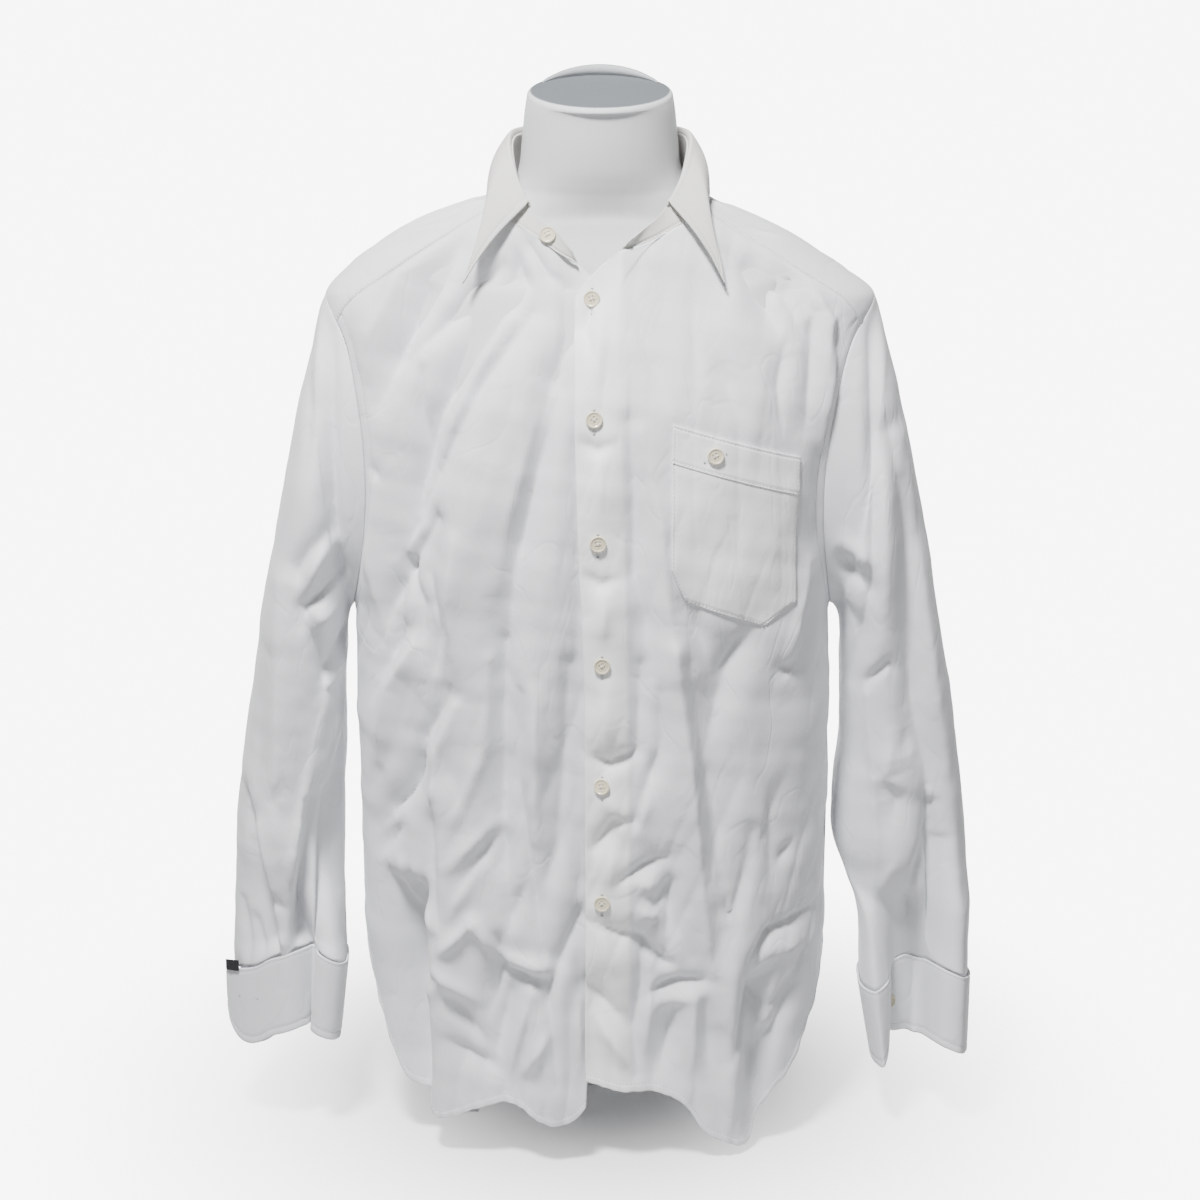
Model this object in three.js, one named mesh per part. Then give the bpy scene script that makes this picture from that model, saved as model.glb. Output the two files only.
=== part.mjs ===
// Long sleeve dress shirt on a limbless display form.
// Millimetres, +Z up, the wearer faces -Y. The cloth is a thin wall through rings and
// sections that are worked out from the sizes below. Left and right are the viewer's.
import * as THREE from 'three';
import { mergeVertices } from 'three/addons/utils/BufferGeometryUtils.js';

// Driving dimensions
const cloth = 1.2;
const seamGap = 0.3;
const cuffSeamGap = 1.1;
const collarCloth = 1.6;
const roundness = 2.3;
const standBack = 40;
const underarm = 430;
const shoulderTop = 673.4;
const armholeHalfAngle = 20.5;
const cuffHeight = 66;
const buttonRadius = 6.2;
const buttonThickness = 2.2;
const layerStep = 2.8;

// Rows and columns of the cloth grids
const frontGrid = { rows: 28, columns: 16 };
const backGrid = { rows: 21, columns: 20 };
const yokeGrid = { rows: 8, columns: 30 };
const sleeveAround = 28;
const cuffSteps = 38;
const collarSteps = 40;
const formAround = 24;

const degree = Math.PI / 180;
const upright = new THREE.Vector3(0, 0, 1);

// Rings of the worn body: half widths to each side and depths to front and back
const bodyRings = [
  { z: 0, left: 187, right: 178, front: 116, back: 108 },
  { z: 100, left: 190, right: 181, front: 118, back: 110 },
  { z: 200, left: 191.5, right: 182, front: 120, back: 112 },
  { z: 290, left: 191, right: 182, front: 122, back: 112 },
  { z: 350, left: 192.5, right: 181, front: 124, back: 112 },
  { z: 430, left: 192, right: 179.5, front: 125, back: 110 },
  { z: 520, left: 196, right: 185, front: 123, back: 108 },
  { z: 600, left: 203, right: 197, front: 115, back: 106 },
  { z: 640, left: 206, right: 203, front: 101, back: 100 },
  { z: 673, left: 208, right: 208, front: 83, back: 90 },
  { z: 690, left: 194, right: 187, front: 75, back: 82 },
  { z: 708, left: 169.5, right: 156, front: 68, back: 74 },
  { z: 723, left: 139.5, right: 125, front: 62, back: 69 },
  { z: 738, left: 103, right: 95, front: 58, back: 65 },
  { z: 750, left: 77, right: 74, front: 57, back: 62 },
  { z: 762, left: 66, right: 66, front: 56, back: 59 },
];

// Neckline height by angle round the neck, front centre at 0 and back centre at 180
const neckline = [
  { angle: -180, z: 757 },
  { angle: -120, z: 755 },
  { angle: -90, z: 751 },
  { angle: -75, z: 746 },
  { angle: -60, z: 738 },
  { angle: -45, z: 727 },
  { angle: -30, z: 715 },
  { angle: -13, z: 703 },
  { angle: 13, z: 712 },
  { angle: 30, z: 718 },
  { angle: 45, z: 728 },
  { angle: 60, z: 738 },
  { angle: 75, z: 746 },
  { angle: 90, z: 751 },
  { angle: 120, z: 755 },
  { angle: 180, z: 757 },
];

// Front edges from hem to neckline, x at each height
const underEdge = [
  { z: 49, x: -11 },
  { z: 80, x: -9 },
  { z: 130, x: 2 },
  { z: 200, x: 18 },
  { z: 400, x: 20 },
  { z: 668, x: 17 },
  { z: 684, x: 6 },
  { z: 696, x: -6.5 },
  { z: 703, x: -15.8 },
];
const overEdge = [
  { z: 71, x: -11 },
  { z: 400, x: -12 },
  { z: 540, x: -17 },
  { z: 678, x: -18 },
  { z: 690, x: -10 },
  { z: 703, x: 2.5 },
  { z: 712, x: 15.8 },
];

// Shirttail hems from the front edge to the side seam
const underHem = [
  { x: -11, z: 49 },
  { x: -19.6, z: 39 },
  { x: -33, z: 34.5 },
  { x: -47, z: 38 },
  { x: -61.2, z: 46.7 },
  { x: -75.3, z: 50 },
  { x: -98.9, z: 43 },
  { x: -112, z: 36 },
  { x: -128, z: 31 },
  { x: -136, z: 33 },
  { x: -142, z: 42 },
  { x: -152, z: 45 },
  { x: -160, z: 52 },
  { x: -170, z: 82 },
  { x: -179, z: 118 },
  { x: -187, z: 155 },
];
const overHem = [
  { x: -11, z: 71.7 },
  { x: 13.3, z: 65.7 },
  { x: 40.7, z: 63 },
  { x: 65.9, z: 51 },
  { x: 82.7, z: 25 },
  { x: 97, z: 15.5 },
  { x: 108, z: 9 },
  { x: 117, z: 7.5 },
  { x: 122, z: 12 },
  { x: 128, z: 27 },
  { x: 133, z: 38 },
  { x: 140, z: 50 },
  { x: 149, z: 60 },
  { x: 160, z: 79 },
  { x: 170, z: 98 },
  { x: 177, z: 118 },
];
const sideHem = { left: 192, right: 146 };
const backHem = [
  { angle: 90, rise: 1 },
  { angle: 108, rise: 0.62 },
  { angle: 126, rise: 0.2 },
  { angle: 144, rise: 0.04 },
  { angle: 180, rise: 0 },
];
const backHemLow = 22;

// Yoke seams: the front ones run from an angle of the neckline to a height on the armhole
const yokeFront = {
  left: { neckAngle: -66, armZ: 655 },
  right: { neckAngle: 66, armZ: 652 },
};
const yokeBackZ = 640;

// Largest folds as soft ridges (+) and valleys (-) along paths of x and z, seen from the front
const frontFolds = [
  { depth: 9, near: 16, far: 9, path: [[-126, 300], [-128, 200], [-129, 117], [-132, 25]] },
  { depth: -20, near: 12, far: 16, path: [[-147, 215], [-146, 140], [-146, 20]] },
  { depth: 6, near: 14, far: 16, path: [[-38, 150], [-38, 95], [-36, 30]] },
  { depth: -7, near: 18, far: 16, path: [[-72, 170], [-78, 110], [-74, 40]] },
  { depth: -5, near: 14, far: 12, path: [[-8, 150], [-10, 95], [-8, 45]] },
  { depth: -6, near: 14, far: 16, path: [[48, 150], [52, 100], [48, 50]] },
  { depth: 9, near: 18, far: 9, path: [[100, 200], [104, 120], [106, 14]] },
  { depth: -15, near: 10, far: 16, path: [[124, 150], [125, 90], [126, 10]] },
  { depth: -6, near: 12, far: 20, path: [[-67, 687], [-91, 650], [-114, 602], [-136, 541], [-143, 482]] },
  { depth: -4, near: 12, far: 16, path: [[-104, 722], [-134, 673], [-155, 620], [-166, 590]] },
  { depth: -4, near: 14, far: 14, path: [[-36, 626], [-48, 565], [-59, 500], [-64, 440]] },
  { depth: 5, near: 16, far: 16, path: [[-90, 560], [-104, 480], [-112, 400]] },
  { depth: -5, near: 12, far: 18, path: [[-125, 430], [-121, 392], [-135, 350], [-142, 310]] },
  { depth: -5, near: 14, far: 16, path: [[-68, 455], [-76, 380], [-76, 300], [-80, 224]] },
  { depth: -4, near: 12, far: 12, path: [[29, 446], [31, 396], [44, 350]] },
  { depth: 5, near: 14, far: 16, path: [[48, 455], [54, 370], [66, 300], [76, 250]] },
  { depth: -4, near: 14, far: 14, path: [[98, 423], [84, 376], [88, 290], [82, 240]] },
  { depth: -4, near: 12, far: 14, path: [[115, 692], [124, 668], [140, 640]] },
];
const backFolds = [
  { depth: -9, near: 18, far: 18, path: [[-70, 620], [-78, 480], [-86, 300], [-92, 120]] },
  { depth: 7, near: 18, far: 18, path: [[-38, 560], [-42, 380], [-44, 160], [-44, 20]] },
  { depth: -8, near: 18, far: 18, path: [[6, 520], [4, 360], [2, 160], [2, 20]] },
  { depth: 8, near: 18, far: 18, path: [[46, 600], [50, 420], [48, 200], [48, 20]] },
  { depth: -9, near: 18, far: 18, path: [[84, 620], [92, 460], [94, 280], [92, 120]] },
  { depth: -7, near: 12, far: 16, path: [[-160, 560], [-138, 500], [-128, 430]] },
  { depth: -7, near: 16, far: 12, path: [[158, 560], [138, 500], [126, 430]] },
];
const sleeveFolds = {
  left: [
    { depth: -6, near: 10, far: 12, path: [[-199, 650], [-199, 570], [-199, 500], [-194, 440]] },
    { depth: -7, near: 6, far: 10, path: [[-271, 250], [-266, 210], [-256, 140]] },
    { depth: -7, near: 6, far: 10, path: [[-216, 360], [-224, 300], [-232, 230], [-240, 140]] },
    { depth: -5, near: 12, far: 12, path: [[-250, 440], [-250, 360], [-252, 280]] },
    { depth: 5, near: 12, far: 12, path: [[-210, 460], [-220, 400], [-234, 340]] },
  ],
  right: [
    { depth: -6, near: 10, far: 12, path: [[201, 650], [203, 570], [203, 500], [197, 430]] },
    { depth: -7, near: 14, far: 14, path: [[212, 575], [229, 507], [232, 440], [244, 342], [258, 280]] },
    { depth: -8, near: 10, far: 6, path: [[259, 265], [264, 221], [270, 150]] },
    { depth: 5, near: 12, far: 12, path: [[240, 500], [248, 420], [262, 330], [278, 240]] },
  ],
};

// Sleeve sections from the underarm down: outer and inner edges, and how far front and back
const sleeveRings = {
  left: [
    { outX: -213, outZ: 660, inX: -194.5, inZ: 427, front: -68, back: 70 },
    { outX: -219.5, outZ: 634, inX: -197, inZ: 422, front: -73, back: 74 },
    { outX: -229, outZ: 599, inX: -199, inZ: 413, front: -76, back: 77 },
    { outX: -238, outZ: 556, inX: -200, inZ: 401, front: -76, back: 78 },
    { outX: -248.5, outZ: 507, inX: -201, inZ: 385, front: -74, back: 76 },
    { outX: -258, outZ: 458, inX: -202.5, inZ: 365, front: -71, back: 73 },
    { outX: -266.5, outZ: 412, inX: -203, inZ: 343, front: -68, back: 70 },
    { outX: -275.5, outZ: 364, inX: -203.5, inZ: 316, front: -65, back: 67 },
    { outX: -282, outZ: 326, inX: -204.5, inZ: 293, front: -63, back: 64 },
    { outX: -287.5, outZ: 290, inX: -205.5, inZ: 268, front: -62, back: 62 },
    { outX: -292, outZ: 252, inX: -206, inZ: 240, front: -61, back: 60 },
    { outX: -292.5, outZ: 218, inX: -207, inZ: 212, front: -60, back: 57 },
    { outX: -291.5, outZ: 186, inX: -207.5, inZ: 184, front: -60, back: 52 },
  ],
  right: [
    { outX: 213.5, outZ: 658, inX: 183.5, inZ: 427, front: -66, back: 72 },
    { outX: 220, outZ: 634, inX: 187, inZ: 421, front: -70, back: 76 },
    { outX: 229.5, outZ: 599, inX: 189.5, inZ: 411, front: -72, back: 80 },
    { outX: 238.5, outZ: 556, inX: 190.5, inZ: 398, front: -70, back: 82 },
    { outX: 249, outZ: 507, inX: 191, inZ: 381, front: -66, back: 82 },
    { outX: 259, outZ: 458, inX: 191.5, inZ: 360, front: -62, back: 80 },
    { outX: 268, outZ: 412, inX: 192, inZ: 338, front: -58, back: 78 },
    { outX: 276.5, outZ: 364, inX: 192, inZ: 311, front: -55, back: 76 },
    { outX: 283, outZ: 322, inX: 189, inZ: 286, front: -53, back: 74 },
    { outX: 289.5, outZ: 284, inX: 187.5, inZ: 260, front: -52, back: 72 },
    { outX: 293.5, outZ: 246, inX: 188, inZ: 233, front: -52, back: 68 },
    { outX: 296, outZ: 210, inX: 193, inZ: 206, front: -54, back: 64 },
    { outX: 299, outZ: 178, inX: 200, inZ: 178, front: -57, back: 60 },
  ],
};

// Plan of each sleeve end as x, y and the height of the cuff's top seam, from its outermost
// point to the front, the inner side and the back
const sleeveEnds = {
  left: [[-297, -20, 128], [-288, -35, 133], [-275, -45, 138.5], [-263, -51, 147],
    [-250, -55, 152.5], [-241, -52, 155], [-233, -45, 155.5], [-229.5, -41, 156],
    [-225, -50, 157], [-222.5, -60, 157], [-216, -67, 154.5], [-208, -64, 150],
    [-204, -53, 146], [-205, -25, 140], [-207, -5, 134], [-214, 25, 128],
    [-235, 45, 124], [-262, 45, 122], [-284, 30, 122], [-294, 5, 123]],
  right: [[299, -8, 121], [295, -41, 129], [288, -57, 135], [277.5, -55.5, 139],
    [269, -40, 138.5], [263.5, -21, 134.5], [257, -11.5, 132], [249, -15.5, 136.5],
    [239, -22, 134], [230, -50, 126], [220.5, -59, 123], [213, -47, 121],
    [211.5, -10, 118], [220, 30, 112], [245, 51.5, 110], [273, 49.5, 112],
    [293, 28, 116]],
};

// Plan of each open cuff band as x, y and top seam height, from its free flap to its hidden end
const cuffPaths = {
  left: [[-303, -26, 129], [-290, -38, 133], [-276, -47, 138.5], [-264, -53, 147],
    [-250, -57, 152.5], [-241, -54, 155], [-233.5, -47, 155.5], [-229, -43, 156],
    [-226, -52, 157], [-224, -62, 157], [-216, -69, 154.5], [-207, -66, 150],
    [-202, -54, 146], [-203, -25, 140], [-205, -5, 134], [-212, 27, 128],
    [-234, 47, 124], [-262, 47, 122], [-286, 32, 122], [-296, 8, 122],
    [-292, -12, 124], [-281, -28, 130], [-267, -38, 134], [-252, -42, 137]],
  right: [[234, -40, 128], [229, -54, 126], [220, -61, 123], [211, -48, 121], [209.5, -10, 118],
    [219, 32, 112], [245, 54, 110], [274, 52, 112], [295, 29, 116], [301, -8, 121],
    [297, -42, 129], [289, -60, 135], [277, -58, 139], [268, -42, 138.5],
    [262, -22, 134.5], [257, -14, 132], [249, -18, 136.5], [238, -24, 134.5],
    [222, -26, 129]],
};
// How far each band's lower edge leans aside between two places in x
const cuffLean = {
  left: { from: -236, to: -222, shift: -8 },
  right: { from: 240, to: 208, shift: 12 },
};
const flapCorner = 32;

// Collar sections round the neck: seam at the neckline, top of the stand, edge of the leaf
const standRows = [
  { angle: -13.5, topX: -21, topY: -70, topZ: 712 },
  { angle: -24, topX: -33, topY: -62, topZ: 726 },
  { angle: -38, topX: -47, topY: -53, topZ: 737 },
  { angle: -55, topX: -58, topY: -38, topZ: 755 },
  { angle: -75, topX: -64.5, topY: -18, topZ: 775 },
  { angle: -100, topX: -65.5, topY: 8, topZ: 787 },
  { angle: -130, topX: -57, topY: 36, topZ: 790 },
  { angle: -155, topX: -33, topY: 55, topZ: 792 },
  { angle: -180, topX: 0, topY: 61, topZ: 792 },
  { angle: -205, topX: 33, topY: 55, topZ: 792 },
  { angle: -230, topX: 57, topY: 36, topZ: 790 },
  { angle: -260, topX: 65.5, topY: 8, topZ: 787 },
  { angle: -285, topX: 64, topY: -18, topZ: 775 },
  { angle: -305, topX: 56.5, topY: -38, topZ: 755 },
  { angle: -322, topX: 45, topY: -54, topZ: 738 },
  { angle: -336, topX: 33, topY: -63, topZ: 728 },
  { angle: -346.5, topX: 22, topY: -70, topZ: 719 },
];
const leafRows = [
  { at: 2.3, edgeX: -99.7, edgeY: -79, edgeZ: 690 },
  { at: 3.1, edgeX: -92, edgeY: -67, edgeZ: 714 },
  { at: 4, edgeX: -85, edgeY: -46, edgeZ: 737 },
  { at: 5, edgeX: -84, edgeY: -8, edgeZ: 751 },
  { at: 6, edgeX: -76, edgeY: 44, edgeZ: 753 },
  { at: 7, edgeX: -44, edgeY: 68, edgeZ: 752 },
  { at: 8, edgeX: 0, edgeY: 75, edgeZ: 751 },
  { at: 9, edgeX: 44, edgeY: 68, edgeZ: 752 },
  { at: 10, edgeX: 75, edgeY: 44, edgeZ: 753 },
  { at: 11, edgeX: 82, edgeY: -8, edgeZ: 751 },
  { at: 12, edgeX: 80, edgeY: -46, edgeZ: 738 },
  { at: 12.9, edgeX: 86, edgeY: -67, edgeZ: 714 },
  { at: 13.7, edgeX: 91, edgeY: -79, edgeZ: 690 },
];
const rollHeight = 4;
const rollReach = 5;

// Chest pocket corners in x and z, and its top band
const pocketCorners = [[52.7, 592.3], [147.3, 562.8], [145.4, 452], [122, 436.8], [62.6, 461.3],
  [52, 485.7]];
const pocketBandDrop = 30;

const frontButtons = [
  { x: -5.8, z: 679 },
  { x: -4.3, z: 596 },
  { x: -1.5, z: 506 },
  { x: 1.5, z: 414 },
  { x: 1.5, z: 319 },
  { x: 1.5, z: 224.5 },
];
const pocketButton = { x: 83.4, z: 568.7 };
const cuffButton = { fromEnd: 13, drop: 34 };
const collarButton = { row: 1.45, level: 0.5 };
const tab = { from: 2, to: 18, below: 1.5, above: 7.5, lift: 0.4, thickness: 1 };

// The form under the shirt: own rings below the shoulders, offset of the body above
const formRings = [
  { z: 118, half: 62, front: 40, back: 46 },
  { z: 124, half: 96, front: 58, back: 62 },
  { z: 142, half: 124, front: 74, back: 78 },
  { z: 200, half: 140, front: 84, back: 88 },
  { z: 300, half: 137, front: 86, back: 84 },
  { z: 400, half: 140, front: 92, back: 84 },
  { z: 480, half: 150, front: 100, back: 86 },
  { z: 560, half: 164, front: 104, back: 92 },
  { z: 620, half: 174, front: 96, back: 92 },
  { z: 655, half: 178, front: 84, back: 86 },
  { z: 680, half: 176, front: 73, back: 78 },
];
const formShoulderZ = [694, 704, 714, 723, 731, 738];
const formClearance = 0.7;
const formFrontClearance = 9;
const formNeck = [
  { z: 748, half: 74, front: 55, back: 58 },
  { z: 757, half: 65, front: 55, back: 57 },
  { z: 768, half: 60.5, front: 55.5, back: 57 },
  { z: 785, half: 58.5, front: 56, back: 57.5 },
  { z: 806, half: 56.5, front: 56.5, back: 58 },
];
const neckTop = { half: 54.5, depth: 59, frontZ: 813, backZ: 833, edge: 4 };
const crest = { height: 7, thickness: 5, halfAngle: 62 };
const pole = { radius: 17.5, y: 40, bottom: 12 };
const base = { thickness: 12, armHalf: 128, barWidth: 34, footWidth: 28, footFront: -26, footBack: 118 };

// Smooth values between the rows of a table, for all its columns
function sampleRows(rows, key, at) {
  const rising = rows[rows.length - 1][key] > rows[0][key];
  let i = 0;
  while (i < rows.length - 2 && (rising ? at > rows[i + 1][key] : at < rows[i + 1][key])) i += 1;
  const a = rows[i];
  const b = rows[i + 1];
  const before = rows[Math.max(0, i - 1)];
  const after = rows[Math.min(rows.length - 1, i + 2)];
  const span = b[key] - a[key];
  const t = THREE.MathUtils.clamp((at - a[key]) / span, 0, 1);
  const out = {};
  for (const name of Object.keys(a)) {
    const rise = b[name] - before[name];
    const slopeA = before === a ? (b[name] - a[name]) / span : rise / (b[key] - before[key]);
    const onward = after[name] - a[name];
    const slopeB = after === b ? (b[name] - a[name]) / span : onward / (after[key] - a[key]);
    const h = t * t * (3 - 2 * t);
    const ease = t * (1 - t);
    out[name] = a[name] * (1 - h) + b[name] * h + span * ease * ((1 - t) * slopeA - t * slopeB);
  }
  return out;
}

// A point of the worn body at an angle round it and a height
function bodyPoint(angle, z) {
  const ring = sampleRows(bodyRings, 'z', z);
  const s = Math.sin(angle);
  const c = Math.cos(angle);
  const across = Math.abs(s) / (s < 0 ? ring.left : ring.right);
  const along = Math.abs(c) / (c > 0 ? ring.front : ring.back);
  const r = (across ** roundness + along ** roundness) ** (-1 / roundness);
  return new THREE.Vector3(r * s, -r * c, z);
}

function bodyNormal(angle, z) {
  const step = 0.01;
  const side = bodyPoint(angle + step, z).sub(bodyPoint(angle - step, z));
  const up = bodyPoint(angle, z + 1).sub(bodyPoint(angle, z - 1));
  return side.cross(up).normalize();
}

// The angle at which the front of the body has a given x
function angleAt(x, z) {
  const ring = sampleRows(bodyRings, 'z', z);
  const share = Math.min(0.9995, Math.abs(x) / (x < 0 ? ring.left : ring.right));
  const y = ring.front * (1 - share ** roundness) ** (1 / roundness);
  return Math.atan2(x, y);
}

// How far a set of folds moves the cloth out at x and z
function foldRelief(folds, x, z) {
  let total = 0;
  for (const fold of folds) {
    let best = null;
    const pieces = fold.path.length - 1;
    for (let i = 0; i < pieces; i += 1) {
      const [ax, az] = fold.path[i];
      const [bx, bz] = fold.path[i + 1];
      const dx = bx - ax;
      const dz = bz - az;
      const t = THREE.MathUtils.clamp(((x - ax) * dx + (z - az) * dz) / (dx * dx + dz * dz), 0, 1);
      const ox = x - ax - t * dx;
      const oz = z - az - t * dz;
      const distance = Math.hypot(ox, oz);
      if (!best || distance < best.distance) {
        best = { distance, side: dx * oz - dz * ox, along: (i + t) / pieces };
      }
    }
    const width = best.side > 0 ? fold.near : fold.far;
    const swell = 0.3 + 0.7 * Math.sin(Math.PI * THREE.MathUtils.clamp(0.12 + 0.88 * best.along, 0, 1));
    total += fold.depth * swell * Math.exp(-((best.distance / width) ** 2));
  }
  return total;
}

// Cloth of the fronts at x and z, moved out by a lift
function frontPoint(x, z, lift) {
  const angle = angleAt(x, z);
  const point = bodyPoint(angle, z);
  return point.addScaledVector(bodyNormal(angle, z), lift + foldRelief(frontFolds, x, z));
}

function gridNormals(grid, closed) {
  const rows = grid.length;
  const columns = grid[0].length;
  return grid.map((line, r) => line.map((point, c) => {
    const above = grid[Math.min(rows - 1, r + 1)][c];
    const below = grid[Math.max(0, r - 1)][c];
    const next = closed ? line[(c + 1) % columns] : line[Math.min(columns - 1, c + 1)];
    const last = closed ? line[(c + columns - 1) % columns] : line[Math.max(0, c - 1)];
    return next.clone().sub(last).cross(above.clone().sub(below)).normalize();
  }));
}

// A solid from triangles given as points, with faces out
function solid(triangles) {
  let volume = 0;
  for (const [a, b, c] of triangles) volume += a.dot(b.clone().cross(c));
  const positions = [];
  for (const [a, b, c] of triangles) {
    const order = volume < 0 ? [a, c, b] : [a, b, c];
    for (const point of order) positions.push(point.x, point.y, point.z);
  }
  const geometry = new THREE.BufferGeometry();
  geometry.setAttribute('position', new THREE.Float32BufferAttribute(positions, 3));
  const merged = mergeVertices(geometry, 1e-4);
  merged.computeVertexNormals();
  return merged;
}

// A cloth wall: the grid is its outer face, the inner face lies a thickness inside.
// Seam rows and columns take the directions that both neighbours share.
function wall(grid, thickness, centre, { closed = false, seamNormal = () => null } = {}) {
  const rows = grid.length;
  const columns = grid[0].length;
  const normals = gridNormals(grid, closed);
  let outward = 0;
  grid.forEach((line, r) => line.forEach((point, c) => {
    outward += normals[r][c].dot(point.clone().sub(centre(point, r)));
  }));
  const sign = outward > 0 ? 1 : -1;
  const inner = grid.map((line, r) => line.map((point, c) => {
    const out = seamNormal(r, c) ?? normals[r][c].clone().multiplyScalar(sign);
    return point.clone().addScaledVector(out, -thickness);
  }));
  const triangles = [];
  const quad = (a, b, c, d) => triangles.push([a, b, c], [a, c, d]);
  const spans = closed ? columns : columns - 1;
  for (let r = 0; r < rows - 1; r += 1) {
    for (let c = 0; c < spans; c += 1) {
      const n = (c + 1) % columns;
      quad(grid[r][c], grid[r][n], grid[r + 1][n], grid[r + 1][c]);
      quad(inner[r + 1][c], inner[r + 1][n], inner[r][n], inner[r][c]);
    }
  }
  for (let c = 0; c < spans; c += 1) {
    const n = (c + 1) % columns;
    quad(inner[0][c], inner[0][n], grid[0][n], grid[0][c]);
    quad(grid[rows - 1][c], grid[rows - 1][n], inner[rows - 1][n], inner[rows - 1][c]);
  }
  if (!closed) {
    const last = columns - 1;
    for (let r = 0; r < rows - 1; r += 1) {
      quad(grid[r][0], grid[r + 1][0], inner[r + 1][0], inner[r][0]);
      quad(inner[r][last], inner[r + 1][last], grid[r + 1][last], grid[r][last]);
    }
  }
  return solid(triangles);
}

// A lofted solid through closed rings, with flat fans at its ends
function loft(rings) {
  const triangles = [];
  const count = rings[0].length;
  for (let r = 0; r < rings.length - 1; r += 1) {
    for (let c = 0; c < count; c += 1) {
      const n = (c + 1) % count;
      triangles.push([rings[r][c], rings[r][n], rings[r + 1][n]]);
      triangles.push([rings[r][c], rings[r + 1][n], rings[r + 1][c]]);
    }
  }
  for (const [ring, flip] of [[rings[0], true], [rings[rings.length - 1], false]]) {
    const middle = ring.reduce((sum, point) => sum.add(point), new THREE.Vector3()).divideScalar(count);
    for (let c = 0; c < count; c += 1) {
      const n = (c + 1) % count;
      triangles.push(flip ? [middle, ring[n], ring[c]] : [middle, ring[c], ring[n]]);
    }
  }
  return solid(triangles);
}

// A patch between four edges given as angle and height, each a function of 0 to 1
function patch(edges, rows, columns) {
  const grid = [];
  const corners = [edges.bottom(0), edges.bottom(1), edges.top(0), edges.top(1)];
  for (let r = 0; r <= rows; r += 1) {
    const v = r / rows;
    const start = edges.start(v);
    const end = edges.end(v);
    const line = [];
    for (let c = 0; c <= columns; c += 1) {
      const u = c / columns;
      const bottom = edges.bottom(u);
      const top = edges.top(u);
      line.push([0, 1].map((k) => (1 - v) * bottom[k] + v * top[k] + (1 - u) * start[k] + u * end[k]
        - (1 - u) * (1 - v) * corners[0][k] - u * (1 - v) * corners[1][k]
        - (1 - u) * v * corners[2][k] - u * v * corners[3][k]));
    }
    grid.push(line);
  }
  return grid;
}

// The body's own directions on the named edges of a grid of places
function edgeNormals(places, sides) {
  const lastRow = places.length - 1;
  const lastColumn = places[0].length - 1;
  return (r, c) => {
    const onEdge = (sides.bottom && r === 0) || (sides.top && r === lastRow)
      || (sides.start && c === 0) || (sides.end && c === lastColumn);
    return onEdge ? bodyNormal(...places[r][c]) : null;
  };
}

// Draws a grid's edges in, so that neighbours keep the seam gap
function insetEdges(grid, sides) {
  const rows = grid.length;
  const columns = grid[0].length;
  const pull = (point, inner) => {
    const length = point.distanceTo(inner);
    point.lerp(inner, (0.75 * seamGap) / length);
  };
  if (sides.bottom) grid[0].forEach((point, c) => pull(point, grid[1][c]));
  if (sides.top) grid[rows - 1].forEach((point, c) => pull(point, grid[rows - 2][c]));
  grid.forEach((line) => {
    if (sides.start) pull(line[0], line[1]);
    if (sides.end) pull(line[columns - 1], line[columns - 2]);
  });
  return grid;
}

// The armhole as a loop round the side of the body, 0 at the underarm, going to the front
function armholeEdge(side, turn) {
  const sign = side === 'left' ? -1 : 1;
  const middle = (shoulderTop + underarm) / 2;
  const reach = (shoulderTop - underarm) / 2;
  const swing = Math.sin(turn) * armholeHalfAngle;
  return [sign * (90 - swing) * degree, middle - reach * Math.cos(turn)];
}

function armTurnAt(z) {
  const middle = (shoulderTop + underarm) / 2;
  return Math.acos((middle - z) / ((shoulderTop - underarm) / 2));
}

const armFrontTurn = {
  left: armTurnAt(yokeFront.left.armZ),
  right: armTurnAt(yokeFront.right.armZ),
};
const armBackTurn = 2 * Math.PI - armTurnAt(yokeBackZ);

function necklineEdge(angle) {
  const wrapped = angle > 180 ? angle - 360 : angle < -180 ? angle + 360 : angle;
  return [angle * degree, sampleRows(neckline, 'angle', wrapped).z];
}

// Side edge of a front or back: side seam from the hem, then half the armhole
const sideSeamShare = 3 / 7;
function sideEdge(side, direction, topTurn) {
  const sign = side === 'left' ? -1 : 1;
  const hem = sideHem[side];
  return (v) => {
    if (v <= sideSeamShare) return [sign * 90 * degree, hem + ((underarm - hem) * v) / sideSeamShare];
    const share = (v - sideSeamShare) / (1 - sideSeamShare);
    const edge = armholeEdge(side, direction * share * topTurn);
    return edge;
  };
}

const bodyCentre = (point) => new THREE.Vector3(0, 0, point.z - 30);

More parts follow.
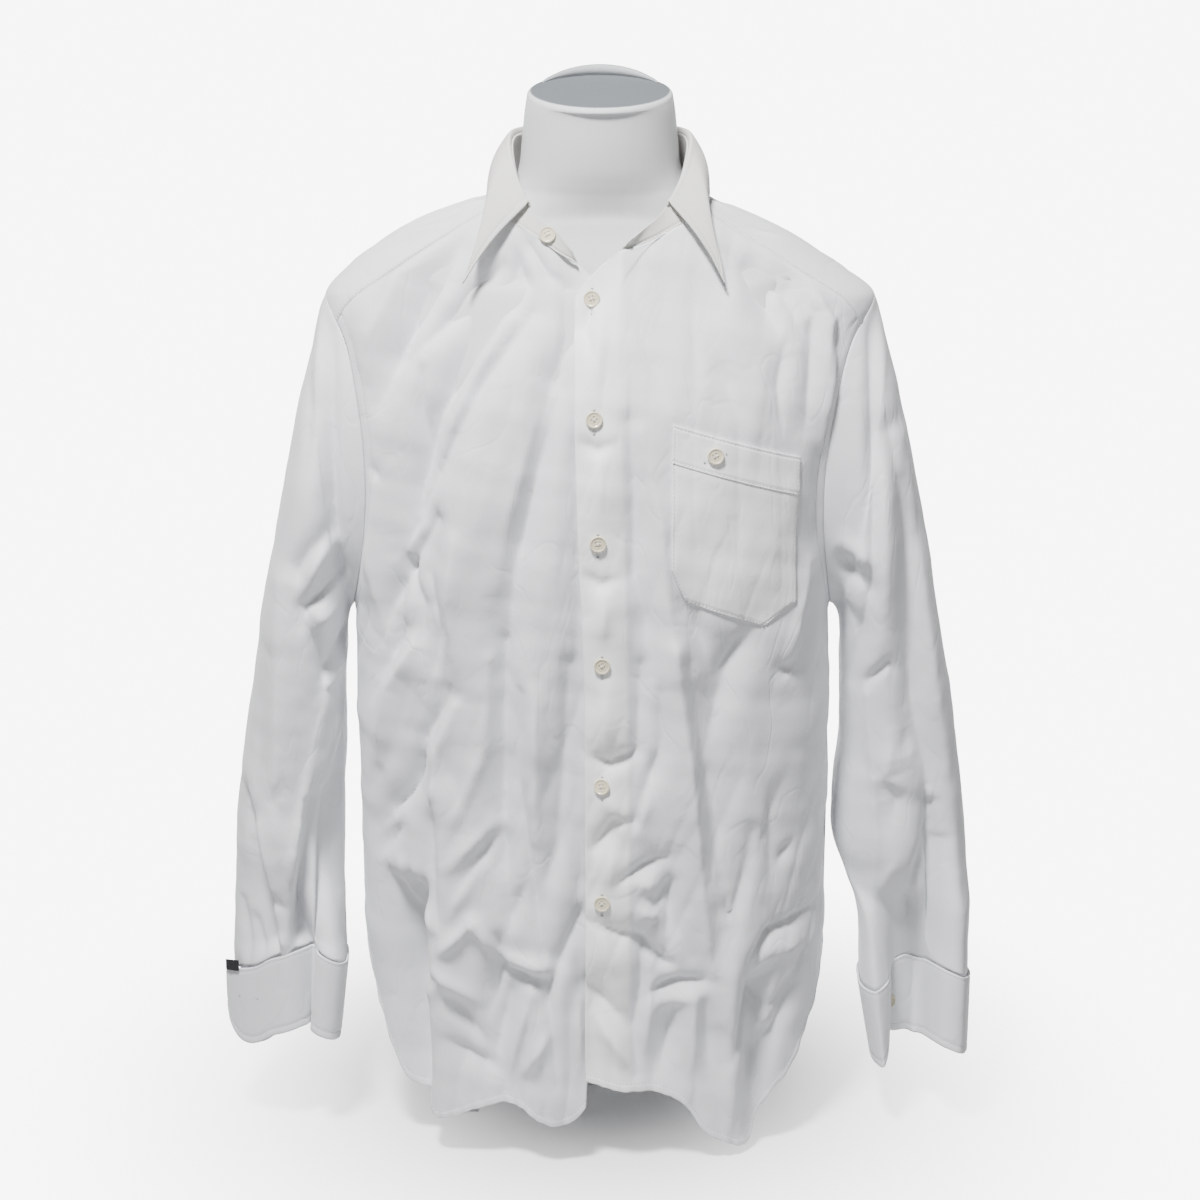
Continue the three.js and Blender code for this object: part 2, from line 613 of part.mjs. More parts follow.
function makeFront(side, edgeRows, hemRows, lift) {
  const sign = side === 'left' ? -1 : 1;
  const seam = yokeFront[side];
  const neckStart = side === 'left' ? -13 : 13;
  const neckShare = 0.5;
  const armTop = armholeEdge(side, armFrontTurn[side]);
  const neckPoint = necklineEdge(seam.neckAngle);
  const hemPlaces = hemRows.map((row) => ({ angle: angleAt(row.x, row.z), z: row.z }));
  hemPlaces.push({ angle: sign * 90 * degree, z: sideHem[side] });
  const edges = {
    bottom: (u) => {
      const angle = THREE.MathUtils.lerp(hemPlaces[0].angle, sign * 90 * degree, u);
      return [angle, sampleRows(hemPlaces, 'angle', angle).z];
    },
    top: (u) => {
      if (u <= neckShare) return necklineEdge(THREE.MathUtils.lerp(neckStart, seam.neckAngle, u / neckShare));
      const t = (u - neckShare) / (1 - neckShare);
      return [0, 1].map((k) => THREE.MathUtils.lerp(neckPoint[k], armTop[k], t));
    },
    start: (v) => {
      const z = THREE.MathUtils.lerp(edgeRows[0].z, edgeRows[edgeRows.length - 1].z, v);
      return [angleAt(sampleRows(edgeRows, 'z', z).x, z), z];
    },
    end: sideEdge(side, 1, armFrontTurn[side]),
  };
  const places = patch(edges, frontGrid.rows, frontGrid.columns);
  const grid = places.map((line, r) => line.map(([angle, z]) => {
    const base = bodyPoint(angle, z);
    const fade = THREE.MathUtils.smoothstep(1 - r / frontGrid.rows, 0, 0.1);
    const relief = lift(base.x) + fade * foldRelief(frontFolds, base.x, z);
    return base.addScaledVector(bodyNormal(angle, z), relief);
  }));
  const seams = { top: true, end: true };
  insetEdges(grid, seams);
  return wall(grid, cloth, bodyCentre, { seamNormal: edgeNormals(places, seams) });
}

function makeBack() {
  const leftSide = sideEdge('left', -1, 2 * Math.PI - armBackTurn);
  const rightSide = sideEdge('right', -1, 2 * Math.PI - armBackTurn);
  const turned = ([angle, z]) => [angle < 0 ? angle + 2 * Math.PI : angle, z];
  const topLeft = turned(leftSide(1));
  const topRight = turned(rightSide(1));
  const edges = {
    bottom: (u) => {
      const angle = 90 + 180 * u;
      const out = sampleRows(backHem, 'angle', angle > 180 ? 360 - angle : angle).rise;
      const high = angle > 180 ? sideHem.left : sideHem.right;
      return [angle * degree, THREE.MathUtils.lerp(backHemLow, high, out)];
    },
    top: (u) => [THREE.MathUtils.lerp(topRight[0], topLeft[0], u), yokeBackZ],
    start: rightSide,
    end: (v) => turned(leftSide(v)),
  };
  const places = patch(edges, backGrid.rows, backGrid.columns);
  const grid = places.map((line) => line.map(([angle, z]) => {
    const point = bodyPoint(angle, z);
    const fade = THREE.MathUtils.smoothstep(yokeBackZ - z, 0, 60);
    return point.addScaledVector(bodyNormal(angle, z), fade * foldRelief(backFolds, point.x, z));
  }));
  const seams = { top: true, start: true, end: true };
  insetEdges(grid, seams);
  return wall(grid, cloth, bodyCentre, { seamNormal: edgeNormals(places, seams) });
}

function makeYoke() {
  const neckLeft = necklineEdge(yokeFront.left.neckAngle);
  const neckRight = necklineEdge(yokeFront.right.neckAngle);
  const armLeft = armholeEdge('left', armFrontTurn.left);
  const armRight = armholeEdge('right', armFrontTurn.right);
  const full = 2 * Math.PI;
  const armShare = 0.3;
  const backTurn = 2 * Math.PI - armBackTurn;
  const edges = {
    top: (u) => {
      const last = 360 + yokeFront.left.neckAngle;
      return necklineEdge(THREE.MathUtils.lerp(yokeFront.right.neckAngle, last, u));
    },
    bottom: (u) => {
      if (u <= armShare) {
        const turn = THREE.MathUtils.lerp(armFrontTurn.right, armBackTurn, u / armShare);
        return armholeEdge('right', turn);
      }
      if (u >= 1 - armShare) {
        const turn = THREE.MathUtils.lerp(armFrontTurn.left, armBackTurn, (1 - u) / armShare);
        const edge = armholeEdge('left', turn);
        return [edge[0] + full, edge[1]];
      }
      const t = (u - armShare) / (1 - 2 * armShare);
      const from = armholeEdge('right', -backTurn)[0];
      const to = armholeEdge('left', -backTurn)[0] + full;
      return [THREE.MathUtils.lerp(from, to, t), yokeBackZ];
    },
    start: (v) => [0, 1].map((k) => THREE.MathUtils.lerp(armRight[k], neckRight[k], v)),
    end: (v) => [armLeft[0] + full, armLeft[1]].map((value, k) => (
      THREE.MathUtils.lerp(value, k ? neckLeft[1] : neckLeft[0] + full, v))),
  };
  const places = patch(edges, yokeGrid.rows, yokeGrid.columns);
  const grid = places.map((line) => line.map(([angle, z]) => bodyPoint(angle, z)));
  const seams = { bottom: true, top: true, start: true, end: true };
  insetEdges(grid, seams);
  return wall(grid, cloth, bodyCentre, { seamNormal: edgeNormals(places, seams) });
}

// A smooth curve through a path's points
function pathCurve(path, closed) {
  const points = path.map(([x, y, z]) => new THREE.Vector3(x, y, z));
  return new THREE.CatmullRomCurve3(points, closed, 'centripetal');
}

function sleeveGrid(side) {
  const sign = side === 'left' ? -1 : 1;
  const around = sleeveAround;
  const rings = [];
  const loop = [];
  for (let i = 0; i < around; i += 1) {
    const turn = Math.PI - (i / around) * 2 * Math.PI;
    const [angle, z] = armholeEdge(side, turn);
    const point = bodyPoint(angle, z);
    const middle = bodyPoint(sign * 90 * degree, (shoulderTop + underarm) / 2);
    const inward = middle.sub(point).normalize();
    const away = bodyNormal(angle, z).multiplyScalar(0.6).addScaledVector(inward, 0.8);
    loop.push(point.addScaledVector(away.normalize(), seamGap));
  }
  rings.push(loop);
  sleeveRings[side].forEach((row, r) => {
    const middle = new THREE.Vector3(row.outX + row.inX, row.front + row.back, row.outZ + row.inZ);
    middle.multiplyScalar(0.5);
    const arm = new THREE.Vector3((row.outX - row.inX) / 2, 0, (row.outZ - row.inZ) / 2);
    const ease = Math.min(1, (r + 1) / 4);
    const ring = [];
    for (let i = 0; i < around; i += 1) {
      const a = (i / around) * 2 * Math.PI;
      const c = Math.cos(a);
      const s = Math.sin(a);
      const power = 2 / THREE.MathUtils.lerp(2, 2.25, ease);
      const out = Math.sign(c) * Math.abs(c) ** power;
      const fore = Math.sign(s) * Math.abs(s) ** power;
      const point = middle.clone().addScaledVector(arm, out);
      point.y -= (fore * (row.back - row.front)) / 2;
      ring.push(point);
    }
    rings.push(ring);
  });
  const end = pathCurve(sleeveEnds[side], true);
  const endRing = [];
  for (let i = 0; i < around; i += 1) {
    const point = end.getPointAt(i / around);
    point.z += cuffSeamGap;
    endRing.push(point);
  }
  const shares = [0.25, 0.65];
  const last = rings.length;
  for (let k = 0; k < 2; k += 1) {
    rings[last - 2 + k] = rings[last - 2 + k].map((point, i) => {
      const target = endRing[i].clone();
      target.z = point.z;
      return point.clone().lerp(target, shares[k]);
    });
  }
  rings.push(endRing);
  return rings.map((ring, r) => {
    const middle = ring.reduce((sum, point) => sum.add(point), new THREE.Vector3()).divideScalar(around);
    return ring.map((point, i) => {
      if (r === 0 || r === rings.length - 1) return point;
      const front = THREE.MathUtils.smoothstep(middle.y - point.y, 0, 30);
      const away = point.clone().sub(middle).setZ(0).normalize();
      const fade = r === 1 ? 0.4 : 1;
      const relief = foldRelief(sleeveFolds[side], point.x, point.z);
      return point.clone().addScaledVector(away, fade * front * relief);
    });
  });
}

function makeSleeve(side) {
  const grid = sleeveGrid(side);
  const middles = grid.map((ring) => (
    ring.reduce((sum, point) => sum.add(point), new THREE.Vector3()).divideScalar(ring.length)));
  const lastRow = grid.length - 1;
  const seamNormal = (r, c) => {
    if (r === 0) return grid[0][c].clone().sub(middles[0]).normalize();
    if (r === lastRow) {
      const last = grid[r][(c + sleeveAround - 1) % sleeveAround];
      const next = grid[r][(c + 1) % sleeveAround].clone().sub(last);
      const out = new THREE.Vector3(next.y, -next.x, 0).normalize();
      return side === 'right' ? out.negate() : out;
    }
    return null;
  };
  return wall(grid, cloth, (point, r) => middles[r], { closed: true, seamNormal });
}

function makeCuff(side) {
  const curve = pathCurve(cuffPaths[side], false);
  const steps = cuffSteps;
  const length = curve.getLength();
  const levels = [0, 0.3, 0.65, 1];
  const lean = cuffLean[side];
  const grid = levels.map((level) => {
    const line = [];
    for (let i = 0; i <= steps; i += 1) {
      const at = i / steps;
      const fromEnd = Math.min(at, 1 - at) * length;
      const short = Math.max(0, flapCorner - fromEnd);
      const round = flapCorner - Math.sqrt(Math.max(0, flapCorner ** 2 - short ** 2));
      const point = curve.getPointAt(at);
      const share = (point.x - lean.from) / (lean.to - lean.from);
      point.x += lean.shift * THREE.MathUtils.smoothstep(share, 0, 1) * (1 - level);
      point.z -= (cuffHeight - round) * (1 - level);
      line.push(point);
    }
    return line;
  });
  const plan = cuffPaths[side];
  const middle = new THREE.Vector3();
  for (const [x, y] of plan) middle.add(new THREE.Vector3(x, y, 0));
  middle.divideScalar(plan.length);
  return wall(grid, cloth + 0.6, (point) => new THREE.Vector3(middle.x, middle.y, point.z));
}

function standSection(row) {
  const [angle, z] = necklineEdge(row.angle < -180 ? row.angle + 360 : row.angle);
  const seam = bodyPoint(angle, z);
  return { seam, top: new THREE.Vector3(row.topX, row.topY, row.topZ) };
}

function standCurves() {
  const sections = standRows.map(standSection);
  return {
    seam: new THREE.CatmullRomCurve3(sections.map((section) => section.seam), false, 'centripetal'),
    top: new THREE.CatmullRomCurve3(sections.map((section) => section.top), false, 'centripetal'),
  };
}

function makeStand() {
  const curves = standCurves();
  const steps = collarSteps;
  const levels = [0, 0.33, 0.66, 1];
  const grid = levels.map((level) => {
    const line = [];
    for (let i = 0; i <= steps; i += 1) {
      const seam = curves.seam.getPoint(i / steps);
      const top = curves.top.getPoint(i / steps);
      const rise = top.clone().sub(seam).normalize();
      const start = seam.clone().addScaledVector(rise, seamGap + cloth);
      line.push(start.lerp(top, level));
    }
    return line;
  });
  return wall(grid, collarCloth, (point) => new THREE.Vector3(0, 0, point.z - 10));
}

function makeLeaf() {
  const curves = standCurves();
  const first = leafRows[0].at;
  const last = leafRows[leafRows.length - 1].at;
  const edge = new THREE.CatmullRomCurve3(leafRows.map((row) => (
    new THREE.Vector3(row.edgeX, row.edgeY, row.edgeZ))), false, 'centripetal');
  const steps = collarSteps;
  const levels = [0, 0.5, 1, 1.35, 1.7, 2];
  const sections = [];
  for (let i = 0; i <= steps; i += 1) {
    const row = first + ((last - first) * i) / steps;
    const along = row / (standRows.length - 1);
    const top = curves.top.getPoint(along);
    const low = edge.getPoint(i / steps);
    const out = new THREE.Vector3(top.x, top.y, 0).normalize();
    const start = top.clone().addScaledVector(upright, seamGap).addScaledVector(out, 0.2);
    const crown = top.clone().addScaledVector(upright, rollHeight).addScaledVector(out, rollReach * 0.35);
    const turn = top.clone().addScaledVector(upright, rollHeight * 0.5).addScaledVector(out, rollReach);
    sections.push({ start, crown, turn, low });
  }
  const grid = levels.map((level) => sections.map((section) => {
    if (level <= 1) {
      const a = section.start.clone().lerp(section.crown, Math.min(1, level * 2));
      return level < 1 ? a : section.turn.clone();
    }
    const t = level - 1;
    const bulge = 3.5 * Math.sin(Math.PI * t);
    const point = section.turn.clone().lerp(section.low, t);
    const out = new THREE.Vector3(point.x, point.y, 0).normalize();
    return point.addScaledVector(out, bulge).addScaledVector(upright, bulge * 0.5);
  }));
  return wall(grid, collarCloth, (point) => new THREE.Vector3(0, 0, point.z - 30));
}

// The small tab on a cuff's top seam, beside the free flap's end
function makeTab(side) {
  const curve = pathCurve(cuffPaths[side], false);
  const length = curve.getLength();
  const columns = 4;
  const grid = [-tab.below, tab.above].map((rise) => {
    const line = [];
    for (let i = 0; i <= columns; i += 1) {
      const at = THREE.MathUtils.lerp(tab.from, tab.to, i / columns) / length;
      const along = curve.getTangentAt(at);
      const out = new THREE.Vector3(along.y, -along.x, 0).normalize();
      const point = curve.getPointAt(at).addScaledVector(out, tab.lift + tab.thickness);
      point.z += rise;
      line.push(point);
    }
    return line;
  });
  return wall(grid, tab.thickness, () => new THREE.Vector3(-250, 0, 0));
}

// A flat piece that lies on the over front: rows of x and z become a wall over the cloth
function frontPiece(places, lift, thickness) {
  const grid = places.map((line) => line.map(([x, z]) => frontPoint(x, z, lift + thickness)));
  return wall(grid, thickness, bodyCentre);
}

function pocketPlaces(topShare, bottomShare, rows, columns) {
  const [topLeft, topRight, lowRight, footRight, footLeft, lowLeft] = pocketCorners;
  const sideAt = (corner, low, foot, t) => {
    const bend = 0.82;
    const [from, to, share] = t < bend ? [corner, low, t / bend] : [low, foot, (t - bend) / (1 - bend)];
    return [0, 1].map((k) => THREE.MathUtils.lerp(from[k], to[k], share));
  };
  const places = [];
  for (let r = 0; r <= rows; r += 1) {
    const t = THREE.MathUtils.lerp(topShare, bottomShare, r / rows);
    const left = sideAt(topLeft, lowLeft, footLeft, t);
    const right = sideAt(topRight, lowRight, footRight, t);
    const line = [];
    for (let c = 0; c <= columns; c += 1) {
      line.push([0, 1].map((k) => THREE.MathUtils.lerp(left[k], right[k], c / columns)));
    }
    places.push(line);
  }
  return places.reverse();
}

// A round button with a raised rim, closed on its axis
function buttonGeometry() {
  const r = buttonRadius;
  const h = buttonThickness;
  const profile = [[0, 0], [r * 0.8, 0], [r, h * 0.45], [r * 0.93, h], [r * 0.72, h * 0.72], [0, h * 0.66]];
  const lathe = new THREE.LatheGeometry(profile.map(([x, y]) => new THREE.Vector2(x, y)), 12);
  lathe.deleteAttribute('normal');
  lathe.deleteAttribute('uv');
  const merged = mergeVertices(lathe, 1e-4);
  merged.computeVertexNormals();
  return merged;
}

function ellipseRing(z, half, front, back, power, count) {
  const ring = [];
  for (let i = 0; i < count; i += 1) {
    const a = (i / count) * 2 * Math.PI;
    const s = Math.sin(a);
    const c = Math.cos(a);
    const depth = c > 0 ? front : back;
    const r = ((Math.abs(s) / half) ** power + (Math.abs(c) / depth) ** power) ** (-1 / power);
    ring.push(new THREE.Vector3(r * s, -r * c, z));
  }
  return ring;
}

function makeFormBody() {
  const count = formAround;
  const rings = formRings.map((row) => ellipseRing(row.z, row.half, row.front, row.back, 2.2, count));
  for (const z of formShoulderZ) {
    const ring = [];
    for (let i = 0; i < count; i += 1) {
      const a = (i / count) * 2 * Math.PI;
      const ahead = THREE.MathUtils.smoothstep(Math.cos(a), 0.2, 0.6) * formFrontClearance;
      const point = bodyPoint(a, z).addScaledVector(bodyNormal(a, z), -(cloth + formClearance + ahead));
      ring.push(point);
    }
    rings.push(ring);
  }
  for (const row of formNeck) rings.push(ellipseRing(row.z, row.half, row.front, row.back, 2.05, count));
  for (const [inset, drop] of [[0, neckTop.edge], [neckTop.edge * 0.4, 0.8], [neckTop.edge, 0]]) {
    const ring = ellipseRing(0, neckTop.half - inset, neckTop.depth - inset, neckTop.depth - inset, 2, count);
    for (const point of ring) {
      const share = (point.y / neckTop.depth + 1) / 2;
      point.z = THREE.MathUtils.lerp(neckTop.frontZ, neckTop.backZ, share) - drop;
    }
    rings.push(ring);
  }
  return loft(rings);
}

function makeCrest() {
  const steps = 20;
  const outer = neckTop.half - neckTop.edge - 0.5;
  const outerDepth = neckTop.depth - neckTop.edge - 0.5;
  const rings = [];
  for (let i = 0; i <= steps; i += 1) {
    const share = i / steps;
    const a = (180 - crest.halfAngle + 2 * crest.halfAngle * share) * degree;
    const height = 0.6 + crest.height * Math.sin(Math.PI * share);
    const thin = crest.thickness * (0.4 + 0.6 * Math.sin(Math.PI * share));
    const at = (inset, up) => {
      const point = new THREE.Vector3((outer - inset) * Math.sin(a), -(outerDepth - inset) * Math.cos(a), 0);
      const tilt = (point.y / neckTop.depth + 1) / 2;
      point.z = THREE.MathUtils.lerp(neckTop.frontZ, neckTop.backZ, tilt) + seamGap + up;
      return point;
    };
    rings.push([at(0, 0), at(thin, 0), at(thin, height), at(0, height)]);
  }
  return loft(rings);
}

function makePole() {
  const top = formRings[0].z - seamGap;
  const geometry = new THREE.CylinderGeometry(pole.radius, pole.radius, top - pole.bottom - seamGap, 24);
  geometry.rotateX(Math.PI / 2);
  geometry.translate(0, pole.y, (top + pole.bottom + seamGap) / 2);
  return geometry;
}

// A flat base: two feet joined by a bar under the pole
function makeBase() {
  const half = base.armHalf;
  const foot = base.footWidth;
  const low = pole.y - base.barWidth / 2;
  const high = pole.y + base.barWidth / 2;
  const shape = new THREE.Shape([
    [-half, base.footFront], [-half + foot, base.footFront], [-half + foot, low], [half - foot, low],
    [half - foot, base.footFront], [half, base.footFront], [half, base.footBack],
    [half - foot, base.footBack], [half - foot, high], [-half + foot, high],
    [-half + foot, base.footBack], [-half, base.footBack],
  ].map(([x, y]) => new THREE.Vector2(x, y)));
  return new THREE.ExtrudeGeometry(shape, { depth: base.thickness, bevelEnabled: false });
}

// Finishes
const shirtCotton = new THREE.MeshStandardMaterial({ color: 0xf1f2f4, roughness: 0.85, metalness: 0 });
const collarCotton = new THREE.MeshStandardMaterial({ color: 0xefeeea, roughness: 0.85, metalness: 0 });
const pearl = new THREE.MeshStandardMaterial({ color: 0xece6d2, roughness: 0.35, metalness: 0 });
const tabBlack = new THREE.MeshStandardMaterial({ color: 0x18181a, roughness: 0.8, metalness: 0 });
const formGrey = new THREE.MeshStandardMaterial({ color: 0xdfe1e2, roughness: 0.7, metalness: 0 });
const steel = new THREE.MeshStandardMaterial({ color: 0xcfd1d3, roughness: 0.4, metalness: 0.3 });

const model = new THREE.Group();
model.position.y = -standBack;

function add(name, geometry, material) {
  const mesh = new THREE.Mesh(geometry, material);
  mesh.name = name;
  model.add(mesh);
  return mesh;
}

// Sets a button on a place with its face along a direction
function addButton(name, place, direction) {
  const mesh = add(name, buttonGeometry(), pearl);
  mesh.quaternion.setFromUnitVectors(new THREE.Vector3(0, 1, 0), direction.clone().normalize());
  mesh.position.copy(place);
}

function addFrontButton(name, { x, z }, lift) {
  const ahead = frontPoint(x, z, 10).sub(frontPoint(x, z, 0)).normalize();
  addButton(name, frontPoint(x, z, lift), ahead);
}

// A button on the outer face of a cuff's hidden end
function addCuffButton(name, side) {
  const curve = pathCurve(cuffPaths[side], false);
  const at = 1 - cuffButton.fromEnd / curve.getLength();
  const along = curve.getTangentAt(at);
  const sign = side === 'left' ? 1 : -1;
  const out = new THREE.Vector3(sign * along.y, -sign * along.x, 0).normalize();
  const place = curve.getPointAt(at).addScaledVector(out, 0.5);
  place.z -= cuffButton.drop;
  addButton(name, place, out);
}

// The collar button on the stand's end, on its outer face
function addCollarButton(name) {
  const curves = standCurves();
  const at = collarButton.row / (standRows.length - 1);
  const seam = curves.seam.getPoint(at);
  const top = curves.top.getPoint(at);
  const along = curves.seam.getTangent(at);
  const out = top.clone().sub(seam).cross(along).normalize();
  if (out.y > 0) out.negate();
  addButton(name, seam.lerp(top, collarButton.level).addScaledVector(out, 1), out);
}

const underTuck = (x) => -layerStep * THREE.MathUtils.smoothstep(x, -52, -22);
const overLift = () => 0;
add('frontUnder', makeFront('left', underEdge, underHem, underTuck), shirtCotton);
add('frontOver', makeFront('right', overEdge, overHem, overLift), shirtCotton);
add('back', makeBack(), shirtCotton);
add('yoke', makeYoke(), shirtCotton);
add('sleeveLeft', makeSleeve('left'), shirtCotton);
add('sleeveRight', makeSleeve('right'), shirtCotton);
add('cuffLeft', makeCuff('left'), shirtCotton);
add('cuffRight', makeCuff('right'), shirtCotton);
add('collarStand', makeStand(), collarCotton);
add('collarLeaf', makeLeaf(), collarCotton);
const bandShare = pocketBandDrop / 140;
add('pocket', frontPiece(pocketPlaces(bandShare + 0.004, 1, 8, 6), 0.9, cloth), shirtCotton);
add('pocketBand', frontPiece(pocketPlaces(0, bandShare, 3, 6), 0.9, cloth + 0.3), shirtCotton);
frontButtons.forEach((place, i) => addFrontButton(`button${i + 1}`, place, 0.8));
addFrontButton('pocketButton', pocketButton, 0.9 + cloth + 0.3 + 0.8);
addCollarButton('collarButton');
addCuffButton('cuffButtonLeft', 'left');
addCuffButton('cuffButtonRight', 'right');
add('cuffTab', makeTab('left'), tabBlack);
add('formBody', makeFormBody(), formGrey);
add('formCrest', makeCrest(), formGrey);
add('formPole', makePole(), steel);
add('formBase', makeBase(), steel);

export default model;
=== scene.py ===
# Long sleeve dress shirt on a limbless display form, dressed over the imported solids.
# Tables are in millimetres, with the wearer facing -Y; left and right are the viewer's.
import math
import bpy
import numpy as np
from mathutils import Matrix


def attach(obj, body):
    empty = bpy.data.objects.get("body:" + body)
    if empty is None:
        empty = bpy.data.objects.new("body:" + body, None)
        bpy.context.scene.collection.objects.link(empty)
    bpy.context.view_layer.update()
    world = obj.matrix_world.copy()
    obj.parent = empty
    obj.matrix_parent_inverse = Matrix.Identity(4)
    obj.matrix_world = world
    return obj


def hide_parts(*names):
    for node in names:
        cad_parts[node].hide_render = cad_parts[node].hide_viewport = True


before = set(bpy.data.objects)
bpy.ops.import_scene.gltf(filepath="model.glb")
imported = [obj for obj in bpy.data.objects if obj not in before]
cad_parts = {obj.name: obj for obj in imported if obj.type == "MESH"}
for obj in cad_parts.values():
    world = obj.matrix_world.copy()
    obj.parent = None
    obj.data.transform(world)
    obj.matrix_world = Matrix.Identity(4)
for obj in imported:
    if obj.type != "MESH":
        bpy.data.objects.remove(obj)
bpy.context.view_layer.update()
print("frame loaded")

mm = 0.001
standBack = 40  # the pole stands this far behind the neck's axis
roundness = 2.3
degree = math.pi / 180


def table(columns, *rows):
    names = columns.split()
    return {name: np.array([row[i] for row in rows], float) for i, name in enumerate(names)}


def sampleTable(rows, key, at):
    # smooth values between the rows, for all columns
    keys = rows[key]
    if keys[-1] < keys[0]:
        rows = {name: column[::-1] for name, column in rows.items()}
        keys = rows[key]
    at = np.clip(np.asarray(at, float), keys[0], keys[-1])
    i = np.clip(np.searchsorted(keys, at, side="left") - 1, 0, len(keys) - 2)
    before = np.maximum(i - 1, 0)
    after = np.minimum(i + 2, len(keys) - 1)
    span = keys[i + 1] - keys[i]
    t = (at - keys[i]) / span
    h = t * t * (3 - 2 * t)
    ease = t * (1 - t) * span
    out = {}
    for name, column in rows.items():
        slopeA = (column[i + 1] - column[before]) / (keys[i + 1] - keys[before])
        slopeB = (column[after] - column[i]) / (keys[after] - keys[i])
        out[name] = column[i] * (1 - h) + column[i + 1] * h + ease * ((1 - t) * slopeA - t * slopeB)
    return out


def smooth(value, low, high):
    t = np.clip((value - low) / (high - low), 0, 1)
    return t * t * (3 - 2 * t)


def unit(vectors):
    return vectors / np.maximum(np.linalg.norm(vectors, axis=-1, keepdims=True), 1e-9)


def mix(a, b, t):
    return a + (b - a) * t


def stack(*parts):
    return np.stack(np.broadcast_arrays(*parts), axis=-1).astype(float)


# The worn body that the fronts, back and yoke follow
body = {
    "rings": table(
        "z left right front back",
        (0, 187, 178, 116, 108), (100, 190, 181, 118, 110), (200, 191.5, 182, 120, 112),
        (290, 191, 182, 122, 112), (350, 192.5, 181, 124, 112), (430, 192, 179.5, 125, 110),
        (520, 196, 185, 123, 108), (600, 203, 197, 115, 106), (640, 206, 203, 101, 100),
        (673, 208, 208, 83, 90), (690, 194, 187, 75, 82), (708, 169.5, 156, 68, 74),
        (723, 139.5, 125, 62, 69), (738, 103, 95, 58, 65), (750, 77, 74, 57, 62),
        (762, 66, 66, 56, 59)),
    "neckline": table(
        "angle z", (-180, 757), (-120, 755), (-90, 751), (-75, 746), (-60, 738), (-45, 727),
        (-30, 715), (-13, 703), (13, 712), (30, 718), (45, 728), (60, 738), (75, 746), (90, 751),
        (120, 755), (180, 757)),
    "underarm": 430, "shoulderTop": 673.4, "armholeHalfAngle": 20.5,
    "sideHem": {"left": 192, "right": 146},
    "sideSeamShare": 3 / 7,
    "yokeNeckAngle": 66, "yokeArm": {"left": 655, "right": 652}, "yokeBack": 640,
    "cloth": 0.9,
}


def bodyPoint(angle, z):
    ring = sampleTable(body["rings"], "z", z)
    s = np.sin(angle)
    c = np.cos(angle)
    across = np.abs(s) / np.where(s < 0, ring["left"], ring["right"])
    along = np.abs(c) / np.where(c > 0, ring["front"], ring["back"])
    r = (across ** roundness + along ** roundness) ** (-1 / roundness)
    return stack(r * s, -r * c, z)


def bodyNormal(angle, z):
    side = bodyPoint(angle + 0.01, z) - bodyPoint(angle - 0.01, z)
    up = bodyPoint(angle, z + 1) - bodyPoint(angle, z - 1)
    return unit(np.cross(side, up))


def angleAt(x, z):
    ring = sampleTable(body["rings"], "z", z)
    share = np.minimum(0.9995, np.abs(x) / np.where(x < 0, ring["left"], ring["right"]))
    return np.arctan2(x, ring["front"] * (1 - share ** roundness) ** (1 / roundness))


def foldRelief(folds, x, z, power=2.0):
    # soft ridges (+) and valleys (-) along paths of x and z, with a width to each side
    total = np.zeros(np.shape(x))
    for depth, near, far, path in folds:
        best = np.full(np.shape(x), 1e9)
        side = np.zeros(np.shape(x))
        along = np.zeros(np.shape(x))
        pieces = len(path) - 1
        for i in range(pieces):
            ax, az = path[i]
            dx = path[i + 1][0] - ax
            dz = path[i + 1][1] - az
            t = np.clip(((x - ax) * dx + (z - az) * dz) / (dx * dx + dz * dz), 0, 1)
            ox = x - ax - t * dx
            oz = z - az - t * dz
            distance = np.hypot(ox, oz)
            closer = distance < best
            best = np.where(closer, distance, best)
            side = np.where(closer, dx * oz - dz * ox, side)
            along = np.where(closer, (i + t) / pieces, along)
        width = np.where(side > 0, near, far)
        swell = 0.3 + 0.7 * np.sin(np.pi * np.clip(0.12 + 0.88 * along, 0, 1))
        total += depth * swell * np.exp(-(best / width) ** power)
    return total


def ripple(x, z, seed, sizes, height):
    # low uneven waves from a few slanted sines
    chance = np.random.default_rng(seed)
    total = np.zeros(np.shape(x))
    for size in sizes:
        for turn in chance.uniform(0, math.pi, 3):
            phase = chance.uniform(0, 2 * math.pi)
            bend = 0.6 * np.sin((x * math.cos(turn + 1.3) + z * math.sin(turn + 1.3)) / (1.7 * size) + phase)
            wave = np.sin((x * math.cos(turn) + z * math.sin(turn)) * 2 * math.pi / size + phase + bend)
            total += wave * size
    return height * total / (3 * sum(sizes))


def crumple(x, z, seed, sizes, height):
    # small pressed-in creases: narrow furrows where slanted waves cross zero
    chance = np.random.default_rng(seed)
    total = np.zeros(np.shape(x))
    for size in sizes:
        for turn in chance.uniform(-0.9, 0.9, 2):
            phase = chance.uniform(0, 2 * math.pi)
            lay = x * math.cos(turn) + z * math.sin(turn) * 0.55
            bend = 1.1 * np.sin((z * math.cos(turn) - x * math.sin(turn)) / (1.9 * size) + phase)
            gate = smooth(np.sin(z / (1.3 * size) + x / (2.1 * size) + 3 * phase), -0.2, 0.7)
            total -= gate * (1 - np.abs(np.sin(math.pi * lay / size + phase + bend))) ** 3
    return height * total


